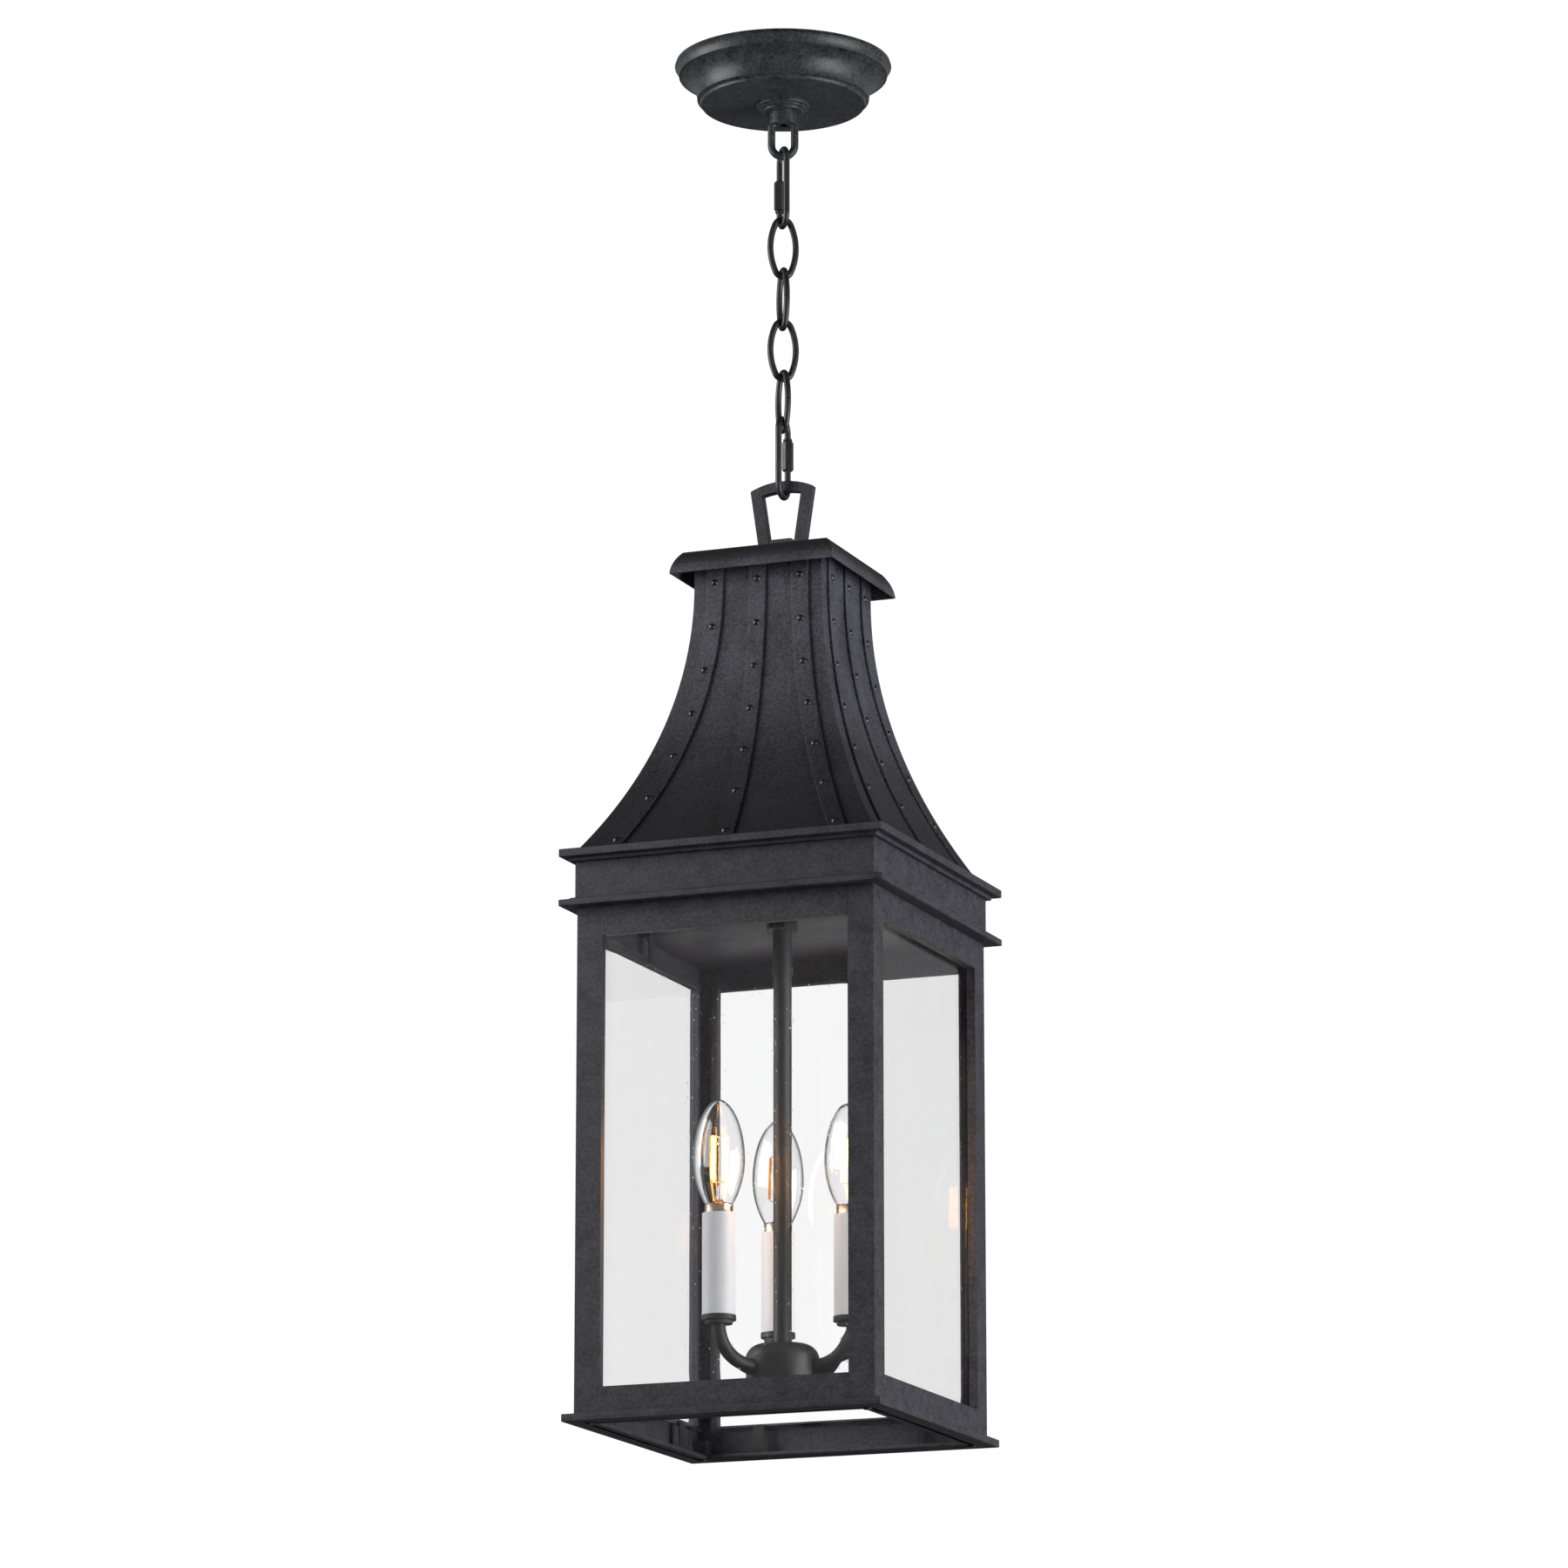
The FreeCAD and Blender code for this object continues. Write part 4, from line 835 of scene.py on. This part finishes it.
@dataclass
class Bulb:
    """Clear candle bulb: capped base, blown envelope, glass mount and four sticks."""

    finishes: Finishes
    number: int
    glow: Glow
    wall_mm: float = 0.8
    widest_share: float = 0.43
    neck_mm: float = 9.3
    shoulder: float = 2.14
    nose: float = 0.55
    stick_mm: float = 30.0
    stick_r_mm: float = 1.0
    stick_count: int = 4
    spread_top_mm: float = 5.2
    spread_foot_mm: float = 6.0
    stick_foot_mm: float = 15.9
    wire_mm: float = 0.25

    def build(self) -> None:
        """Builds the bulb in its lampholder."""
        dress("bulb_base_%d" % self.number, self.finishes.nickel)
        self.envelope()
        self.mount()

    def profile(self, inset: float, height: float, belly: float) -> list[tuple[float, float]]:
        """Half outline of the envelope, from its neck to its tip.

        Args:
            inset: How far inside the outer face this one lies, in millimetres.
            height: Height of the envelope.
            belly: Its largest radius.

        Returns:
            Points (radius, height) in millimetres.
        """
        steps = 40
        points = []
        for i in range(steps + 1):
            share = 0.5 - 0.5 * math.cos(math.pi * i / steps)
            if share < self.widest_share:
                turn = 1 - share / self.widest_share
                radius = belly - (belly - self.neck_mm) * turn ** self.shoulder
            else:
                turn = (share - self.widest_share) / (1 - self.widest_share)
                radius = belly * max(1 - turn ** 2, 0.0) ** self.nose
            points.append((max(radius - inset, 0.0), share * (height - inset)))
        points[-1] = (0.0, height - inset)
        return points

    def envelope(self) -> None:
        """Blows the glass: an outer face, an inner face and the rim between them."""
        node = "bulb_glass_%d" % self.number
        low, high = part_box(node)
        belly = (high.x - low.x) / 2 / MM
        height = (high.z - low.z) / MM
        foot = centre_of(node)
        foot.z = low.z
        outer = self.profile(0.0, height, belly)
        inner = self.profile(self.wall_mm, height, belly)
        mesh = lathe(outer + inner[::-1], foot, 64)
        piece = new_piece("bulb_envelope_%d" % self.number, mesh, body_of(node),
                          [self.finishes.bulb])
        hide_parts(node)

    def mount(self) -> None:
        """Builds the flared glass mount, the lead wires and the sticks."""
        node = "bulb_filament_%d" % self.number
        low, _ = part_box(node)
        foot = centre_of(node)
        foot.z = low.z
        flare = [(0.0, 0.0), (5.0, 0.0), (4.6, 0.8), (2.6, 3.0), (1.9, 7.0), (1.6, 11.0), (0.9, 12.5),
                 (0.0, 13.0)]
        meshes = [lathe(flare, foot, 24)]
        slots = [0]
        top = self.stick_foot_mm + self.stick_mm
        for height, spread in ((self.stick_foot_mm, self.spread_foot_mm), (top, self.spread_top_mm)):
            hub = foot + Vector((0, 0, (height - (1.2 if height < top else 0.0)) * MM))
            for i in range(self.stick_count):
                tip = self.place(foot, spread, height, i)
                meshes.append(tube_along([hub, hub.lerp(tip, 0.7) + Vector((0, 0, -0.3 * MM)), tip],
                                         self.wire_mm * MM, 8))
                slots.append(1)
        meshes.append(tube_along([foot + Vector((0, 0, 12 * MM)), foot + Vector((0, 0, top * MM))],
                                 self.wire_mm * MM, 8))
        slots.append(1)
        for i in range(self.stick_count):
            ends = [self.place(foot, spread, height, i) for height, spread in
                    ((self.stick_foot_mm, self.spread_foot_mm), (top, self.spread_top_mm))]
            inside = [ends[0].lerp(ends[1], share) for share in (0.03, 0.5, 0.97)]
            meshes.append(tube_along(inside, self.stick_r_mm * MM, 12))
            slots.append(2)
        stick = self.finishes.stick_lit if self.glow is Glow.LIT else self.finishes.stick_dark
        piece = new_piece("bulb_mount_%d" % self.number, joined(meshes, slots), body_of(node),
                          [self.finishes.bulb, self.finishes.nickel, stick])
        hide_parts(node)

    def place(self, foot: Vector, spread: float, height: float, index: int) -> Vector:
        """Where a stick's end is.

        Args:
            foot: Foot of the mount.
            spread: Distance from the axis, in millimetres.
            height: Height above the foot, in millimetres.
            index: Which stick.

        Returns:
            The point, in metres.
        """
        turn = 2 * math.pi * (index + 0.33 * self.number + 0.02) / self.stick_count
        return foot + Vector((spread * math.cos(turn), spread * math.sin(turn), height)) * MM


@dataclass(frozen=True)
class SoftBox:
    """Square soft light that faces the lantern. Sizes are in metres, power in watts."""

    name: str
    azimuth: float
    height: float
    distance: float
    size: float
    power: float


@dataclass
class Studio:
    """Plain pale floor, soft light and the camera."""

    azimuth: float = 21.704
    elevation: float = -13.283
    distance: float = 4.6134
    lens: float = 156.386
    sensor: float = 36.0
    aim_above_roof_foot: float = 0.05971
    aim_right: float = 0.00062
    floor_drop: float = 5.0
    floor_light: float = 0.78
    floor_radius_mm: float = 16000.0
    white_strength: float = 1.05
    room_stops: tuple[tuple[float, str], ...] = (
        (0.0, "#2A2A2C"), (0.35, "#4C4C4E"), (0.5, "#8C8C8E"), (0.66, "#828284"),
        (0.82, "#3A3A3C"), (1.0, "#161618"))
    sheet: str = "#8E8E90"
    sheet_masks: tuple[tuple[str, float, float], ...] = (
        ("Y", 0.1, 0.7), ("Z", -0.2, 0.02), ("Z", 0.8, 0.4))
    boxes: tuple[SoftBox, ...] = (SoftBox("left box", -62.0, 0.4, 1.5, 1.1, 27.0),
                                  SoftBox("right box", 86.0, -0.5, 2.5, 2.0, 86.0))

    def build(self) -> None:
        """Sets up the whole studio."""
        self.backdrop()
        self.world()
        self.lights()
        self.camera()

    def camera(self) -> None:
        """Looks up at the lantern from below its foot."""
        turn, tilt = math.radians(self.azimuth), math.radians(self.elevation)
        back = Vector((math.sin(turn) * math.cos(tilt), -math.cos(turn) * math.cos(tilt),
                       math.sin(tilt)))
        right = Vector((math.cos(turn), math.sin(turn), 0))
        roof_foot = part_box("cornice")[1].z
        aim = Vector((0, 0, roof_foot + self.aim_above_roof_foot)) + right * self.aim_right
        data = bpy.data.cameras.new("camera")
        data.lens, data.sensor_width = self.lens, self.sensor
        data.clip_start, data.clip_end = 0.1, 50.0
        camera = bpy.data.objects.new("camera", data)
        camera.location = aim + back * self.distance
        camera.rotation_euler = (-back).to_track_quat("-Z", "Y").to_euler()
        bpy.context.scene.collection.objects.link(camera)
        bpy.context.scene.camera = camera

    def backdrop(self) -> None:
        """Lays the floor well under the lantern."""
        low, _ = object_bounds()
        material = fresh_material("painted_floor_pale")
        place = add(material, "TexCoord").outputs["Object"]
        cloud = add(material, "TexNoise", {"Vector": place, "Scale": 3.0}).outputs["Fac"]
        colour = ramp(material, cloud, ((0.3, linear("#E9E9E7")), (0.7, linear("#EDEDEB"))))
        shader = add(material, "BsdfPrincipled", {"Base Color": colour, "Roughness": 0.8,
                                                  "Emission Color": linear("#F2F2F0"),
                                                  "Emission Strength": self.floor_light})
        add(material, "OutputMaterial", {"Surface": shader.outputs[0]})
        mesh = lathe([(0.0, 0.0), (self.floor_radius_mm, 0.0)],
                     Vector((0, 0, low[2] - self.floor_drop)), 64, False)
        floor = bpy.data.objects.new("floor", mesh)
        mesh.materials.append(material)
        floor.visible_diffuse = floor.visible_glossy = False
        bpy.context.scene.collection.objects.link(floor)
        floor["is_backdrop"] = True

    def world(self) -> None:
        """White behind the lantern, and a soft grey room for its reflections."""
        world = bpy.data.worlds.new("studio")
        world.use_nodes = True
        world.node_tree.nodes.clear()
        bpy.context.scene.world = world
        way = add(world, "TexCoord").outputs["Generated"]
        parts = add(world, "SeparateXYZ", {0: way}).outputs
        upright = add(world, "MapRange", {"Value": parts["Z"], "From Min": -1.0}).outputs["Result"]
        grey = ramp(world, upright, [(at, linear(code)) for at, code in self.room_stops])
        masks = [add(world, "MapRange", {"Value": parts[axis], "From Min": low, "From Max": high},
                     interpolation_type="SMOOTHSTEP").outputs["Result"]
                 for axis, low, high in self.sheet_masks]
        sheet = add(world, "Math", {0: masks[0], 1: masks[1]}, operation="MULTIPLY").outputs[0]
        sheet = add(world, "Math", {0: sheet, 1: masks[2]}, operation="MULTIPLY").outputs[0]
        walls = add(world, "Mix", {"Factor": sheet, "A": grey, "B": linear(self.sheet)},
                    data_type="RGBA").outputs["Result"]
        room = add(world, "Background", {"Color": walls, "Strength": 1.0})
        white = add(world, "Background", {"Color": (1.0, 1.0, 1.0, 1.0),
                                          "Strength": self.white_strength})
        path = add(world, "LightPath").outputs
        bounced = add(world, "Math", {0: path["Glossy Depth"], 1: path["Diffuse Depth"]},
                      operation="ADD").outputs[0]
        direct = add(world, "Math", {0: bounced, 1: 0.5}, operation="LESS_THAN").outputs[0]
        through = add(world, "Math", {0: direct, 1: path["Is Transmission Ray"]},
                      operation="MULTIPLY").outputs[0]
        seen = add(world, "Math", {0: path["Is Camera Ray"], 1: through},
                   operation="MAXIMUM").outputs[0]
        both = add(world, "MixShader", {0: seen, 1: room.outputs[0], 2: white.outputs[0]})
        add(world, "OutputWorld", {"Surface": both.outputs[0]})

    def lights(self) -> None:
        """Hangs the soft boxes round the lantern."""
        middle = Vector((0, 0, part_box("cornice")[0].z))
        for box in self.boxes:
            turn = math.radians(box.azimuth)
            where = middle + Vector((math.sin(turn) * box.distance, -math.cos(turn) * box.distance,
                                     box.height))
            data = bpy.data.lights.new(box.name, "AREA")
            data.shape, data.size, data.energy = "SQUARE", box.size, box.power
            light = bpy.data.objects.new(box.name, data)
            light.location = where
            light.rotation_euler = (middle - where).to_track_quat("-Z", "Y").to_euler()
            light.visible_camera = False
            bpy.context.scene.collection.objects.link(light)


def main() -> None:
    """Builds the lantern from the ceiling down, then the studio round it."""
    logging.basicConfig(level=logging.INFO, format="%(message)s")
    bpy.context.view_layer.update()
    bpy.context.scene.view_settings.view_transform = "Standard"
    finishes = make_finishes()
    glows = (Glow.DARK, Glow.LIT, Glow.LIT)
    bulbs = [Bulb(finishes, number, glow) for number, glow in enumerate(glows, start=1)]
    assemblies = [CeilingFixing(finishes), Canopy(finishes), Chain(finishes), Roof(finishes),
                  Casing(finishes), Glazing(finishes), Cluster(finishes), *bulbs]
    for assembly in assemblies:
        before = len(bpy.data.objects)
        assembly.build()
        LOG.info("%s: %d new pieces", type(assembly).__name__, len(bpy.data.objects) - before)
    Studio().build()


if __name__ == "__main__":
    main()
